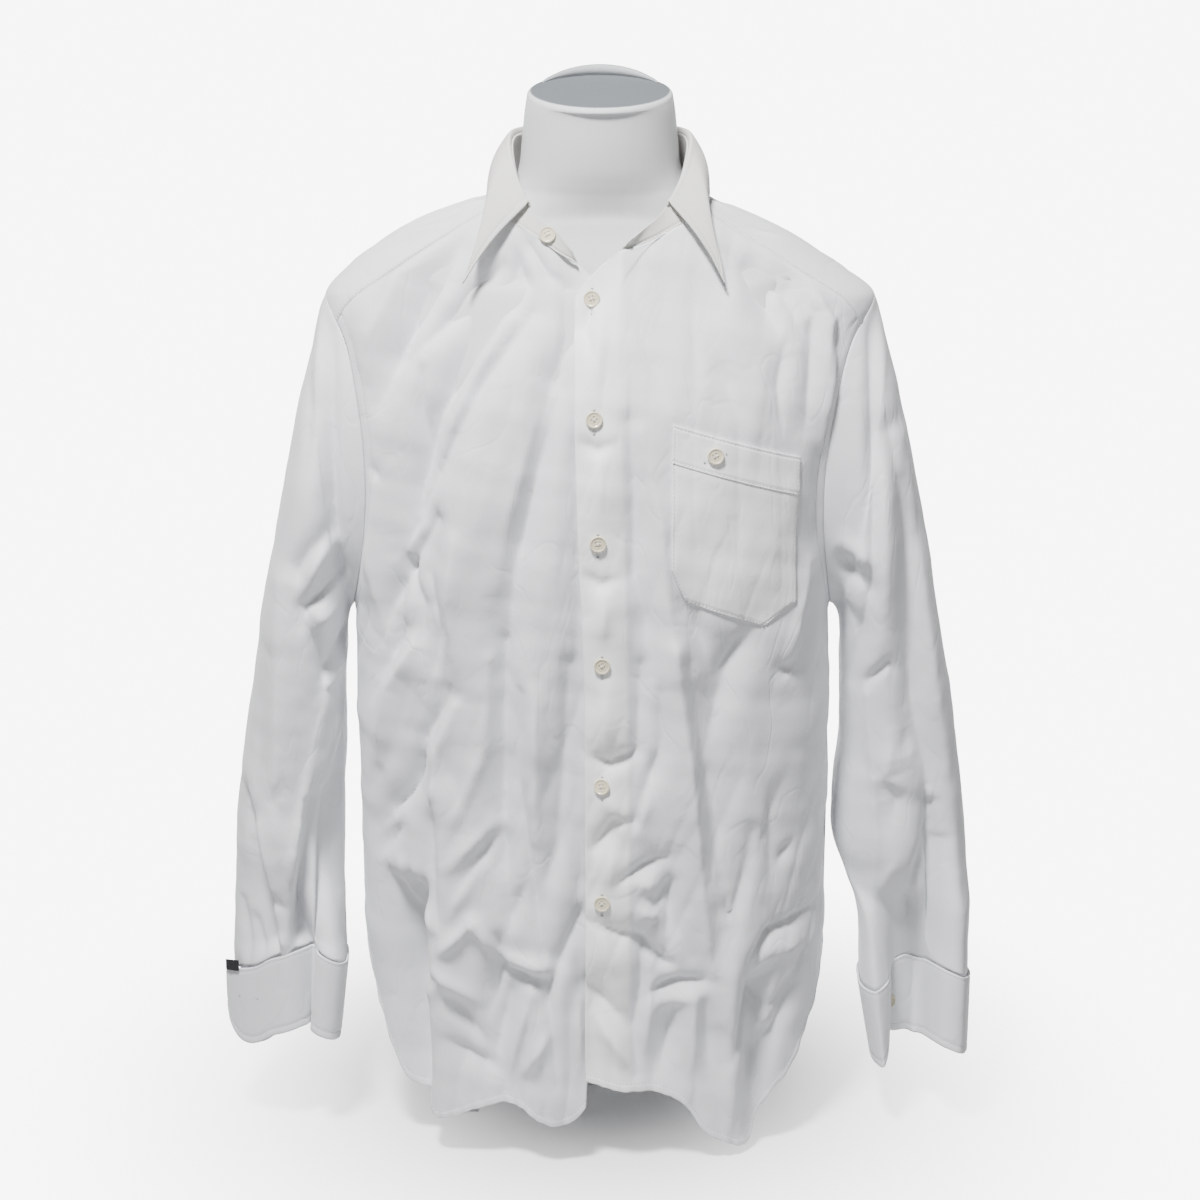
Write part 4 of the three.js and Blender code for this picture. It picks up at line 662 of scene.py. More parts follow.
def makeFront(side):
    sign = -1 if side == "left" else 1
    edgeRows = fronts["underEdge"] if side == "left" else fronts["overEdge"]
    hemRows = fronts["underHem"] if side == "left" else fronts["overHem"]
    neckAngle = sign * body["yokeNeckAngle"]
    hemX = np.array([x for x, z in hemRows], float)
    hemZ = np.array([z for x, z in hemRows], float)
    hem = {"angle": np.append(angleAt(hemX, hemZ), sign * math.pi / 2),
           "z": np.append(hemZ, body["sideHem"][side])}
    armTop = armholeEdge(side, armFrontTurn[side])
    neckPoint = necklineEdge(neckAngle)

    def bottom(u):
        angle = mix(hem["angle"][0], sign * math.pi / 2, u)
        return stack(angle, sampleTable(hem, "angle", angle)["z"])

    def top(u):
        neck = necklineEdge(mix(sign * 13, neckAngle, np.minimum(1, u * 2)))
        seam = mix(neckPoint, armTop, np.maximum(0, u * 2 - 1)[..., None])
        return np.where((u <= 0.5)[..., None], neck, seam)

    def start(v):
        z = mix(edgeRows["z"][0], edgeRows["z"][-1], v)
        return stack(angleAt(sampleTable(edgeRows, "z", z)["x"], z), z)

    edges = {"bottom": bottom, "top": top, "start": start,
             "end": sideEdge(side, 1, armFrontTurn[side])}
    places = patch(edges, fronts["rows"], fronts["columns"])
    angle = places[..., 0]
    z = places[..., 1]
    base = bodyPoint(angle, z)
    sideFade = smooth(distanceFromEdge(base, "end"), 1, 15) * smooth(distanceFromEdge(base, "top"), 0, 9)
    relief = sideFade * frontRelief(base[..., 0], z)
    if side == "left":
        gap = fronts["gapDip"] * smooth(base[..., 0], -34, -20) * smooth(z, 60, 140)
        deep = smooth(base[..., 0], -25, -15) * smooth(z, 90, 170) * smooth(-z, -665, -610)
        gap = gap + fronts["gapDeep"] * deep
        relief = relief - fronts["layerStep"] * smooth(base[..., 0], -52, -22) - gap
    else:
        fromEdge = distanceFromEdge(base, "start")
        beyond = smooth(fromEdge, fronts["bandWidth"] - 2, fronts["bandWidth"] + 2)
        relief = relief + fronts["bandRise"] * (1 - beyond)
    relief = relief + hemRelief(base)
    grid = base + bodyNormal(angle, z) * relief[..., None]
    thickness = np.full(grid.shape[:2], body["cloth"])
    name = "shirtFrontUnder" if side == "left" else "shirtFrontOver"
    return shell(name, grid, thickness, np.array([0, 0, 300.0]), seams=(("bottom", 6.2), ("end", 8)))


def makeBack():
    hemLow = 22
    rise = table("angle rise", (90, 1), (108, 0.62), (126, 0.2), (144, 0.04), (180, 0))
    backTurn = 2 * math.pi - armBackTurn
    leftSide = sideEdge("left", -1, backTurn)
    rightSide = sideEdge("right", -1, backTurn)

    def bottom(u):
        angle = 90 + 180 * u
        share = sampleTable(rise, "angle", np.where(angle > 180, 360 - angle, angle))["rise"]
        high = np.where(angle > 180, body["sideHem"]["left"], body["sideHem"]["right"])
        return stack(angle * degree, mix(hemLow, high, share))

    def end(v):
        edge = leftSide(v)
        return stack(edge[..., 0] + 2 * math.pi, edge[..., 1])

    def top(u):
        low = rightSide(np.array([1.0]))[0, 0]
        high = end(np.array([1.0]))[0, 0]
        return stack(mix(low, high, u), body["yokeBack"])

    places = patch({"bottom": bottom, "top": top, "start": rightSide, "end": end}, 200, 180)
    angle = places[..., 0]
    z = places[..., 1]
    base = bodyPoint(angle, z)
    fade = smooth(body["yokeBack"] - z, 0, 60) * smooth(distanceFromEdge(base, "start"), 1, 15)
    fade = fade * smooth(distanceFromEdge(base, "end"), 1, 15)
    x = base[..., 0]
    fine = foldRelief(backCreases, x, z, 1.5) * fronts["creaseShare"] + crumple(x, z, 21, (56, 35), 0.6)
    relief = fade * (foldRelief(backFolds, x, z) + fine + ripple(x, z, 9, (70, 38, 22), 1.2))
    relief = relief + hemRelief(base)
    grid = base + bodyNormal(angle, z) * relief[..., None]
    return shell("shirtBack", grid, np.full(grid.shape[:2], body["cloth"]), np.array([0, 0, 300.0]),
                 seams=(("bottom", 6.2), ("start", 8), ("end", 8)))


def makeYoke():
    full = 2 * math.pi
    share = 0.3
    backTurn = 2 * math.pi - armBackTurn
    neckAngle = body["yokeNeckAngle"]
    armRight = armholeEdge("right", armFrontTurn["right"])
    armLeft = armholeEdge("left", armFrontTurn["left"]) + np.array([full, 0])
    neckRight = necklineEdge(neckAngle)
    neckLeft = necklineEdge(-neckAngle) + np.array([full, 0])

    def top(u):
        return necklineEdge(mix(neckAngle, 360 - neckAngle, u))

    def bottom(u):
        right = armholeEdge("right", mix(armFrontTurn["right"], armBackTurn, np.minimum(1, u / share)))
        left = armholeEdge("left", mix(armFrontTurn["left"], armBackTurn, np.minimum(1, (1 - u) / share)))
        left = left + np.array([full, 0])
        low = armholeEdge("right", -backTurn)[0]
        high = armholeEdge("left", -backTurn)[0] + full
        seam = stack(mix(low, high, (u - share) / (1 - 2 * share)), body["yokeBack"])
        out = np.where((u <= share)[..., None], right, seam)
        return np.where((u >= 1 - share)[..., None], left, out)

    edges = {"top": top, "bottom": bottom,
             "start": lambda v: mix(armRight, neckRight, v[..., None]),
             "end": lambda v: mix(armLeft, neckLeft, v[..., None])}
    places = patch(edges, 60, 260)
    grid = bodyPoint(places[..., 0], places[..., 1])
    edge = np.minimum(distanceFromEdge(grid, "start"), distanceFromEdge(grid, "end"))
    inside = smooth(edge, 6, 20) * smooth(distanceFromEdge(grid, "bottom"), 2, 16)
    inside = inside * smooth(distanceFromEdge(grid, "top"), 2, 16)
    folds = foldRelief(yokeFolds, grid[..., 0], grid[..., 1])
    relief = 0.45 * (1 - smooth(edge, 5, 8)) + inside * 1.35 * folds
    grid = grid + bodyNormal(places[..., 0], places[..., 1]) * relief[..., None]
    return shell("shirtYoke", grid, np.full(grid.shape[:2], body["cloth"]), np.array([0, 0, 640.0]),
                 seams=(("start", 2), ("end", 2)))


sleeves = {
    "left": table(
        "outX outZ inX inZ front back",
        (-213, 660, -194.5, 427, -68, 70), (-219.5, 634, -197, 422, -73, 74),
        (-229, 599, -199, 413, -76, 77), (-238, 556, -200, 401, -76, 78),
        (-248.5, 507, -201, 385, -74, 76), (-258, 458, -202.5, 365, -71, 73),
        (-266.5, 412, -203, 343, -68, 70), (-275.5, 364, -203.5, 316, -65, 67),
        (-282, 326, -204.5, 293, -63, 64), (-287.5, 290, -205.5, 268, -62, 62),
        (-292, 252, -206, 240, -61, 60), (-292.5, 218, -207, 212, -60, 57),
        (-291.5, 186, -207.5, 184, -60, 52)),
    "right": table(
        "outX outZ inX inZ front back",
        (213.5, 658, 183.5, 427, -66, 72), (220, 634, 187, 421, -70, 76),
        (229.5, 599, 189.5, 411, -72, 80), (238.5, 556, 190.5, 398, -70, 82),
        (249, 507, 191, 381, -66, 82), (259, 458, 191.5, 360, -62, 80),
        (268, 412, 192, 338, -58, 78), (276.5, 364, 192, 311, -55, 76),
        (283, 322, 189, 286, -53, 74), (289.5, 284, 187.5, 260, -52, 72),
        (293.5, 246, 188, 233, -52, 68), (296, 210, 193, 206, -54, 64),
        (299, 178, 200, 178, -57, 60)),
    "ends": {
        "left": [
            (-297, -20, 128), (-288, -35, 133), (-275, -45, 138.5), (-263, -51, 147), (-250, -55, 152.5),
            (-241, -52, 155), (-233, -45, 155.5), (-229.5, -41, 156), (-225, -50, 157),
            (-222.5, -60, 157), (-216, -67, 154.5), (-208, -64, 150), (-204, -53, 146), (-205, -25, 140),
            (-207, -5, 134), (-214, 25, 128), (-235, 45, 124), (-262, 45, 122), (-284, 30, 122),
            (-294, 5, 123)],
        "right": [
            (299, -8, 121), (295, -41, 129), (288, -57, 135), (277.5, -55.5, 139), (269, -40, 138.5),
            (263.5, -21, 134.5), (257, -11.5, 132), (249, -15.5, 136.5), (239, -22, 134), (230, -50, 126),
            (220.5, -59, 123), (213, -47, 121), (211.5, -10, 118), (220, 30, 112), (245, 51.5, 110),
            (273, 49.5, 112), (293, 28, 116)]},
    "around": 170, "rows": 210, "cloth": 0.9,
}

cuffs = {
    "left": [
        (-303, -26, 129), (-290, -38, 133), (-276, -47, 138.5), (-264, -53, 147), (-250, -57, 152.5),
        (-241, -54, 155), (-233.5, -47, 155.5), (-229, -43, 156), (-226, -52, 157), (-224, -62, 157),
        (-216, -69, 154.5), (-207, -66, 150), (-202, -54, 146), (-203, -25, 140), (-205, -5, 134),
        (-212, 27, 128), (-234, 47, 124), (-262, 47, 122), (-286, 32, 122), (-296, 8, 122),
        (-292, -12, 124), (-281, -28, 130), (-267, -38, 134), (-252, -42, 137)],
    "right": [
        (234, -40, 128), (229, -54, 126), (220, -61, 123), (211, -48, 121), (209.5, -10, 118),
        (219, 32, 112), (245, 54, 110), (274, 52, 112), (295, 29, 116), (301, -8, 121),
        (297, -42, 129), (289, -60, 135), (277, -58, 139), (268, -42, 138.5), (262, -22, 134.5),
        (257, -14, 132), (249, -18, 136.5), (238, -24, 134.5), (222, -26, 129)],
    "lean": {"left": (-236, -222, -8), "right": (240, 208, 12)},
    "height": 66, "corner": 32, "cloth": 1.6, "steps": 300, "rows": 46,
    "buttonFromEnd": 13, "buttonDrop": 34,
}


def catmull(points, closed):
    # centripetal curve through points, as even steps of length: a function of 0 to 1
    points = np.asarray(points, float)
    if closed:
        ring = np.concatenate([points[-1:], points, points[:2]])
    else:
        ring = np.concatenate([2 * points[:1] - points[1:2], points, 2 * points[-1:] - points[-2:-1]])
    fine = []
    t = np.linspace(0, 1, 24, endpoint=False)[:, None]
    for i in range(1, len(ring) - 2):
        p = ring[i - 1:i + 3]
        gap = np.maximum(np.linalg.norm(np.diff(p, axis=0), axis=1) ** 0.5, 1e-6)
        m1 = (p[1] - p[0]) / gap[0] - (p[2] - p[0]) / (gap[0] + gap[1]) + (p[2] - p[1]) / gap[1]
        m2 = (p[2] - p[1]) / gap[1] - (p[3] - p[1]) / (gap[1] + gap[2]) + (p[3] - p[2]) / gap[2]
        m1 = m1 * gap[1]
        m2 = m2 * gap[1]
        rest = p[2] - p[1]
        fine.append(p[1] + t * m1 + t * t * (3 * rest - 2 * m1 - m2) + t ** 3 * (m1 + m2 - 2 * rest))
    fine.append(points[:1] if closed else points[-1:])
    fine = np.concatenate(fine)
    lengths = np.concatenate([[0], np.cumsum(np.linalg.norm(np.diff(fine, axis=0), axis=1))])

    def at(share):
        along = np.asarray(share) * lengths[-1]
        return np.stack([np.interp(along, lengths, fine[:, k]) for k in range(3)], -1)
    return at, lengths[-1]


def makeSleeve(side):
    sign = -1 if side == "left" else 1
    rows = sleeves[side]
    around = sleeves["around"]
    share = np.arange(around) / around
    turn = math.pi - share * 2 * math.pi
    hole = armholeEdge(side, turn)
    loop = bodyPoint(hole[..., 0], hole[..., 1])
    holeMiddle = (body["shoulderTop"] + body["underarm"]) / 2
    middle = bodyPoint(np.array([sign * math.pi / 2]), np.array([holeMiddle]))
    away = unit(0.6 * bodyNormal(hole[..., 0], hole[..., 1]) + 0.8 * unit(middle - loop))
    rings = [loop + away * 0.1]
    c = np.cos(share * 2 * math.pi)
    s = np.sin(share * 2 * math.pi)
    for r in range(len(rows["outX"])):
        row = {name: column[r] for name, column in rows.items()}
        centre = np.array([(row["outX"] + row["inX"]) / 2, (row["front"] + row["back"]) / 2,
                           (row["outZ"] + row["inZ"]) / 2])
        arm = np.array([(row["outX"] - row["inX"]) / 2, 0, (row["outZ"] - row["inZ"]) / 2])
        power = 2 / mix(2, 2.25, min(1, (r + 1) / 4))
        ring = centre + arm * (np.sign(c) * np.abs(c) ** power)[:, None]
        ring[:, 1] -= np.sign(s) * np.abs(s) ** power * (row["back"] - row["front"]) / 2
        rings.append(ring)
    endCurve = catmull(sleeves["ends"][side], True)[0]
    endRing = endCurve(share)
    for k, blend in ((-2, 0.25), (-1, 0.65)):
        target = endRing.copy()
        target[:, 2] = rings[k][:, 2]
        rings[k] = mix(rings[k], target, blend)
    rings.append(endRing + np.array([0, 0, 0.2]))
    rings = np.array(rings)
    # smooth rows between the sections
    count = len(rings)
    place = np.linspace(0, count - 1, sleeves["rows"])
    i = np.clip(place.astype(int), 0, count - 2)
    t = (place - i)[:, None, None]
    before = rings[np.maximum(i - 1, 0)]
    after = rings[np.minimum(i + 2, count - 1)]
    a = rings[i]
    b = rings[i + 1]
    slopeA = np.where((i == 0)[:, None, None], b - a, (b - before) / 2)
    slopeB = np.where((i == count - 2)[:, None, None], b - a, (after - a) / 2)
    grid = between(a, b, slopeA, slopeB, t)
    middles = grid.mean(axis=1, keepdims=True)
    front = smooth(middles[..., 1] - grid[..., 1], 0, 30)
    flat = grid - middles
    flat[..., 2] = 0
    down = np.linspace(0, 1, sleeves["rows"])[:, None]
    fade = smooth(down, 0, 0.06) * (1 - 0.6 * smooth(down, 0.97, 1))
    rear = smooth(grid[..., 1] - middles[..., 1], 0, 30)
    relief = 1.6 * front * foldRelief(sleeveFolds[side], grid[..., 0], grid[..., 2], 1.5)
    relief = relief + 1.3 * rear * foldRelief(sleeveBackFolds[side], grid[..., 0], grid[..., 2], 1.6)
    seed = 3 if side == "left" else 4
    relief = relief + ripple(grid[..., 0] + grid[..., 1], grid[..., 2], seed, (70, 40, 22), 1.2)
    grid = grid + unit(flat) * (fade * relief)[..., None]
    name = "shirtSleeveLeft" if side == "left" else "shirtSleeveRight"
    return shell(name, grid, np.full(grid.shape[:2], sleeves["cloth"]), middles, closed=True)


def cuffGrid(side, steps, rows):
    curve, length = catmull(cuffs[side], False)
    share = np.linspace(0, 1, steps)
    line = curve(share)
    short = np.maximum(0, cuffs["corner"] - np.minimum(share, 1 - share) * length)
    rounding = cuffs["corner"] - np.sqrt(np.maximum(0, cuffs["corner"] ** 2 - short ** 2))
    level = np.linspace(0, 1, rows)[:, None]
    grid = np.repeat(line[None], rows, axis=0)
    low, high, shift = cuffs["lean"][side]
    lean = smooth((grid[..., 0] - low) / (high - low), 0, 1)
    grid[..., 0] += shift * lean * (1 - level)
    grid[..., 2] -= (cuffs["height"] - rounding)[None] * (1 - level)
    return grid


def makeCuff(side):
    grid = cuffGrid(side, cuffs["steps"], cuffs["rows"])
    middle = np.asarray(cuffs[side], float).mean(axis=0) * np.array([1, 1, 0])
    centre = grid * np.array([0, 0, 1]) + middle
    name = "shirtCuffLeft" if side == "left" else "shirtCuffRight"
    return shell(name, grid, np.full(grid.shape[:2], cuffs["cloth"]), centre,
                 seams=(("top", 2.2), ("bottom", 6), ("start", 6), ("end", 6)))


collar = {
    "stand": table(
        "angle topX topY topZ",
        (-13.5, -21, -70, 712), (-24, -33, -62, 726), (-38, -47, -53, 737), (-55, -58, -38, 755),
        (-75, -64.5, -18, 775), (-100, -65.5, 8, 787), (-130, -57, 36, 790), (-155, -33, 55, 792),
        (-180, 0, 61, 792), (-205, 33, 55, 792), (-230, 57, 36, 790), (-260, 65.5, 8, 787),
        (-285, 64, -18, 775), (-305, 56.5, -38, 755), (-322, 45, -54, 738), (-336, 33, -63, 728),
        (-346.5, 22, -70, 719)),
    "leaf": table(
        "at edgeX edgeY edgeZ",
        (2.3, -99.7, -79, 690), (3.1, -92, -67, 714), (4, -85, -46, 737), (5, -84, -8, 751),
        (6, -76, 44, 753), (7, -44, 68, 752), (8, 0, 75, 751), (9, 44, 68, 752), (10, 75, 44, 753),
        (11, 82, -8, 751), (12, 80, -46, 738), (12.9, 86, -67, 714), (13.7, 91, -79, 690)),
    "rollHeight": 4, "rollReach": 5, "cloth": 1.3, "steps": 240, "buttonRow": 1.45,
}


def rowCurve(points):
    # a curve through points, as a function of the row number
    points = np.asarray(points, float)
    rows = {"row": np.arange(len(points), dtype=float)}
    for k, axis in enumerate("xyz"):
        rows[axis] = points[:, k]

    def at(row):
        found = sampleTable(rows, "row", row)
        return stack(found["x"], found["y"], found["z"])
    return at


def standCurves():
    rows = collar["stand"]
    hole = necklineEdge(rows["angle"])
    seam = bodyPoint(hole[..., 0], hole[..., 1])
    top = stack(rows["topX"], rows["topY"], rows["topZ"])
    return rowCurve(seam), rowCurve(top)


def makeStand():
    seamAt, topAt = standCurves()
    row = np.linspace(0, len(collar["stand"]["angle"]) - 1, collar["steps"])
    seam = seamAt(row)
    top = topAt(row)
    level = np.linspace(0, 1, 22)[:, None, None]
    grid = mix(seam[None], top[None], level)
    centre = grid * np.array([0, 0, 1]) - np.array([0, 0, 10.0])
    return shell("shirtCollarStand", grid, np.full(grid.shape[:2], collar["cloth"]), centre,
                 seams=(("bottom", 2), ("start", 3), ("end", 3)))


def makeLeaf():
    topAt = standCurves()[1]
    steps = collar["steps"]
    row = np.linspace(collar["leaf"]["at"][0], collar["leaf"]["at"][-1], steps)
    edgeAt = rowCurve(stack(collar["leaf"]["edgeX"], collar["leaf"]["edgeY"], collar["leaf"]["edgeZ"]))
    top = topAt(row)
    low = edgeAt(np.linspace(0, len(collar["leaf"]["at"]) - 1, steps))
    out = unit(top * np.array([1, 1, 0]))
    up = np.array([0, 0, 1.0])
    start = top + up * 0.1
    crown = top + up * collar["rollHeight"] + out * collar["rollReach"] * 0.35
    turn = top + up * collar["rollHeight"] * 0.5 + out * collar["rollReach"]
    bend = 2 * crown - 0.5 * (start + turn)
    lines = []
    for t in np.linspace(0, 1, 12, endpoint=False):
        # a round turn over the stand's top edge
        lines.append((1 - t) ** 2 * start + 2 * t * (1 - t) * bend + t * t * turn)
    for t in np.linspace(0, 1, 48):
        bulge = 3.5 * math.sin(math.pi * t)
        point = mix(turn, low, t)
        lines.append(point + unit(point * np.array([1, 1, 0])) * bulge + up * bulge * 0.5)
    grid = np.array(lines)
    centre = grid * np.array([0, 0, 1]) - np.array([0, 0, 30.0])
    return shell("shirtCollarLeaf", grid, np.full(grid.shape[:2], collar["cloth"]), centre,
                 seams=(("top", 5.5), ("start", 5.5), ("end", 5.5)))


sewing = {
    "radius": 0.2, "pocketInset": 1.7,
    "lines": [
        # piece, edge, distance from it, from and to along it
        ("shirtFrontUnder", "bottom", 6.2, 0, 1), ("shirtFrontOver", "bottom", 6.2, 0, 1),
        ("shirtBack", "bottom", 6.2, 0, 1), ("shirtYoke", "start", 2, 0, 1), ("shirtYoke", "end", 2, 0, 1),
        ("shirtYoke", "bottom", 2, 0.32, 0.68), ("shirtFrontUnder", "end", 8, 0.45, 1),
        ("shirtFrontOver", "end", 8, 0.45, 1), ("shirtBack", "start", 8, 0.45, 1),
        ("shirtBack", "end", 8, 0.45, 1), ("shirtCollarLeaf", "top", 5.5, 0.02, 0.98),
        ("shirtCollarLeaf", "start", 5.5, 0.3, 0.9), ("shirtCollarLeaf", "end", 5.5, 0.3, 0.9),
        ("shirtCuffLeft", "top", 2.2, 0.02, 0.98), ("shirtCuffLeft", "bottom", 6, 0.02, 0.98),
        ("shirtCuffRight", "top", 2.2, 0.02, 0.98), ("shirtCuffRight", "bottom", 6, 0.02, 0.98),
        ("shirtPocket", "start", 1.7, 0, 1), ("shirtPocket", "end", 1.7, 0, 1),
        ("shirtPocket", "bottom", 1.7, 0.02, 0.98), ("shirtPocketBand", "bottom", 1.7, 0.02, 0.98),
        ("shirtPocketBand", "top", 1.7, 0.02, 0.98), ("shirtPocketBand", "start", 1.7, 0, 1),
        ("shirtPocketBand", "end", 1.7, 0, 1), ("shirtCollarStand", "bottom", 2, 0.01, 0.12),
        ("shirtCollarStand", "bottom", 2, 0.88, 0.99),
    ],
    "holeLength": 16, "holeWidth": 1.1, "cuffHole": [(-291, 109), (-275, 111)],
}


pocket = {
    "corners": [(52.7, 592.3), (147.3, 562.8), (145.4, 452), (122, 436.8), (62.6, 461.3), (52, 485.7)],
    "bend": 0.82, "bandShare": 30 / 140, "lift": 0.35, "cloth": 0.9, "bandCloth": 1.5,
    "button": (83.4, 568.7),
}


def pocketPlaces(topShare, bottomShare, rows, columns):
    corners = [np.array(corner, float) for corner in pocket["corners"]]
    topLeft, topRight, lowRight, footRight, footLeft, lowLeft = corners
    t = np.linspace(bottomShare, topShare, rows)[:, None]
    bend = pocket["bend"]

    def sideLine(corner, low, foot):
        upper = mix(corner, low, np.minimum(1, t / bend))
        return np.where(t < bend, upper, mix(low, foot, (t - bend) / (1 - bend)))
    left = sideLine(topLeft, lowLeft, footLeft)
    right = sideLine(topRight, lowRight, footRight)
    return mix(left[:, None], right[:, None], np.linspace(0, 1, columns)[None, :, None])


def makePocketPiece(name, topShare, bottomShare, rows, thickness, edges):
    places = pocketPlaces(topShare, bottomShare, rows, 80)
    lift = pocket["lift"] + thickness
    grid = frontPoint(places[..., 0], places[..., 1], lift)
    inset = sewing["pocketInset"]
    return shell(name, grid, np.full(grid.shape[:2], thickness), np.array([0, 0, 300.0]),
                 seams=[(edge, inset) for edge in edges])


buttons = {
    "radius": 6.2, "thickness": 2.2, "dish": 0.6, "holeAt": 1.35, "holeRadius": 0.62,
    "around": 48, "thread": 0.28,
    "front": [(-5.8, 679), (-4.3, 596), (-1.5, 506), (1.5, 414), (1.5, 319), (1.5, 224.5)],
}


def makeButton(name, place, direction, turn):
    # a rimmed disc with four small wells, made on a polar grid and closed below
    r = buttons["radius"]
    h = buttons["thickness"]
    rim = [4.5, 4.8, 5.1, 5.4, 5.7, 5.95, 6.12, 6.2, 6.1, 5.7, 5.2]
    rings = np.concatenate([np.linspace(0.15, 4.2, 22), rim])
    heights = np.concatenate([np.full(22, h - buttons["dish"]), [h - 0.5, h - 0.28, h - 0.1, h, h - 0.04,
                              h - 0.25, h - 0.6, h * 0.5, 0.35, 0.08, 0]])
    angle = np.linspace(0, 2 * math.pi, buttons["around"], endpoint=False)
    x = rings[:, None] * np.cos(angle) * r / 6.2
    y = rings[:, None] * np.sin(angle) * r / 6.2
    z = np.repeat(heights[:, None], buttons["around"], axis=1)
    for hx in (-1, 1):
        for hy in (-1, 1):
            away = np.hypot(x - hx * buttons["holeAt"], y - hy * buttons["holeAt"])
            beyond = smooth(away, buttons["holeRadius"] - 0.15, buttons["holeRadius"] + 0.2)
            z = z - 0.9 * (1 - beyond) * (z > 1)
    local = np.stack([x, y, z], -1).reshape(-1, 3)
    local = np.concatenate([local, [[0, 0, h - buttons["dish"]], [0, 0, 0]]])
    normal = unit(np.asarray(direction, float))
    side = unit(np.cross([0, 0, 1.0], normal))
    up = np.cross(normal, side)
    spin = np.array([[math.cos(turn), -math.sin(turn)], [math.sin(turn), math.cos(turn)]])
    flat = local[:, :2] @ spin.T
    points = place + flat[:, :1] * side + flat[:, 1:] * up + local[:, 2:] * normal
    count = buttons["around"]
    index = np.arange(len(rings) * count).reshape(len(rings), count)
    nextOne = np.roll(index, -1, axis=1)
    quads = stack(index[:-1], index[1:], nextOne[1:], nextOne[:-1]).reshape(-1, 4)
    topCap = stack(np.full(count, len(local) - 2), index[0], nextOne[0], nextOne[0])
    lowCap = stack(np.full(count, len(local) - 1), nextOne[-1], index[-1], index[-1])
    faces = [tuple(int(k) for k in quad) for quad in quads]
    faces += [tuple(int(k) for k in cap[:3]) for cap in topCap]
    faces += [tuple(int(k) for k in cap[:3]) for cap in lowCap]
    mesh = bpy.data.meshes.new(name)
    metres = points * mm
    metres[:, 1] -= standBack * mm
    mesh.from_pydata(metres.tolist(), [], faces)
    mesh.polygons.foreach_set("use_smooth", np.ones(len(faces), bool))
    mesh.update()
    piece = bpy.data.objects.new(name, mesh)
    bpy.context.scene.collection.objects.link(piece)
    threads = []
    for a, b in (((-1, -1), (1, 1)), ((-1, 1), (1, -1))):
        ends = []
        for hx, hy in (a, b):
            spot = np.array([[hx * buttons["holeAt"], hy * buttons["holeAt"]]]) @ spin.T
            ends.append(place + spot[0, 0] * side + spot[0, 1] * up + normal * (h - buttons["dish"] - 0.1))
        arch = mix(ends[0], ends[1], 0.5) + normal * 0.45
        threads.append(np.array([ends[0], mix(ends[0], arch, 0.6) + normal * 0.15, arch,
                                 mix(ends[1], arch, 0.6) + normal * 0.15, ends[1]]))
    return piece, threads


def threadMesh(name, paths, radius, sides=4):
    # short tubes along many paths, joined as one mesh
    vertices = []
    faces = []
    base = 0
    for path in paths:
        path = np.asarray(path, float)
        along = unit(np.gradient(path, axis=0))
        aside = unit(np.cross(along, np.array([0.31, 0.21, 0.93])))
        over = np.cross(along, aside)
        turns = np.arange(sides) * 2 * math.pi / sides
        ring = (np.cos(turns)[None, :, None] * aside[:, None] + np.sin(turns)[None, :, None] * over[:, None])
        size = np.full(len(path), radius)
        size[[0, -1]] *= 0.4
        points = path[:, None] + ring * size[:, None, None]
        vertices.append(points.reshape(-1, 3))
        index = base + np.arange(len(path) * sides).reshape(len(path), sides)
        nextOne = np.roll(index, -1, axis=1)
        faces.append(stack(index[:-1], nextOne[:-1], nextOne[1:], index[1:]).reshape(-1, 4))
        faces.append(np.array([index[0][::-1], index[-1]]) if sides == 4 else np.empty((0, 4)))
        base += len(path) * sides
    return meshObject(name, np.concatenate(vertices), np.concatenate(faces).astype(np.int32))


def stitchPaths(line, normals, length=2.1, gap=0.9, height=0.12):
    # cuts a line on the cloth into stitches that arch out of it
    line = np.asarray(line, float)
    steps = np.concatenate([[0], np.cumsum(np.linalg.norm(np.diff(line, axis=0), axis=1))])
    count = int(steps[-1] / (length + gap))
    paths = []
    for i in range(count):
        at = i * (length + gap) + np.array([0, 0.5, 1]) * length
        points = np.stack([np.interp(at, steps, line[:, k]) for k in range(3)], -1)
        out = np.stack([np.interp(at, steps, normals[:, k]) for k in range(3)], -1)
        points = points + out * (height * np.array([-0.4, 1, -0.4]))[:, None]
        paths.append(points)
    return paths


def insetLine(name, edge, inset, first, last):
    # a line on a cloth at a distance from one edge, with the cloth's normals there
    grid, normals = cloths[name]

    def facing(values):
        if edge == "top":
            return values[::-1]
        if edge == "start":
            return values.swapaxes(0, 1)
        if edge == "end":
            return values.swapaxes(0, 1)[::-1]
        return values
    total = facing(distanceFromEdge(grid, edge))
    count = total.shape[1] - 1
    columns = range(round(first * count), round(last * count) + 1)
    found = []
    for values in (facing(grid), facing(normals)):
        rows = [[np.interp(inset, total[:, j], values[:, j, k]) for k in range(3)] for j in columns]
        found.append(np.array(rows))
    return found[0], unit(found[1])


def buttonholePaths(start, end, normal):
    # short bars along both lips of a slit, and one across each end
    start = np.asarray(start, float)
    end = np.asarray(end, float)
    along = unit(end - start)
    aside = unit(np.cross(normal, along))
    wide = sewing["holeWidth"]
    bars = []
    for t in np.linspace(0, 1, 20):
        middle = mix(start, end, t)
        for sign in (-1, 1):
            foot = middle + aside * sign * 0.22
            top = middle + aside * sign * wide
            bars.append(np.array([foot, (foot + top) / 2 + normal * 0.12, top]))
    for tip, sign in ((start, -1), (end, 1)):
        for step in (0, 0.3, 0.6):
            place = tip + along * sign * (0.2 + step)
            bars.append(np.array([place - aside * wide, place + normal * 0.14, place + aside * wide]))
    return bars


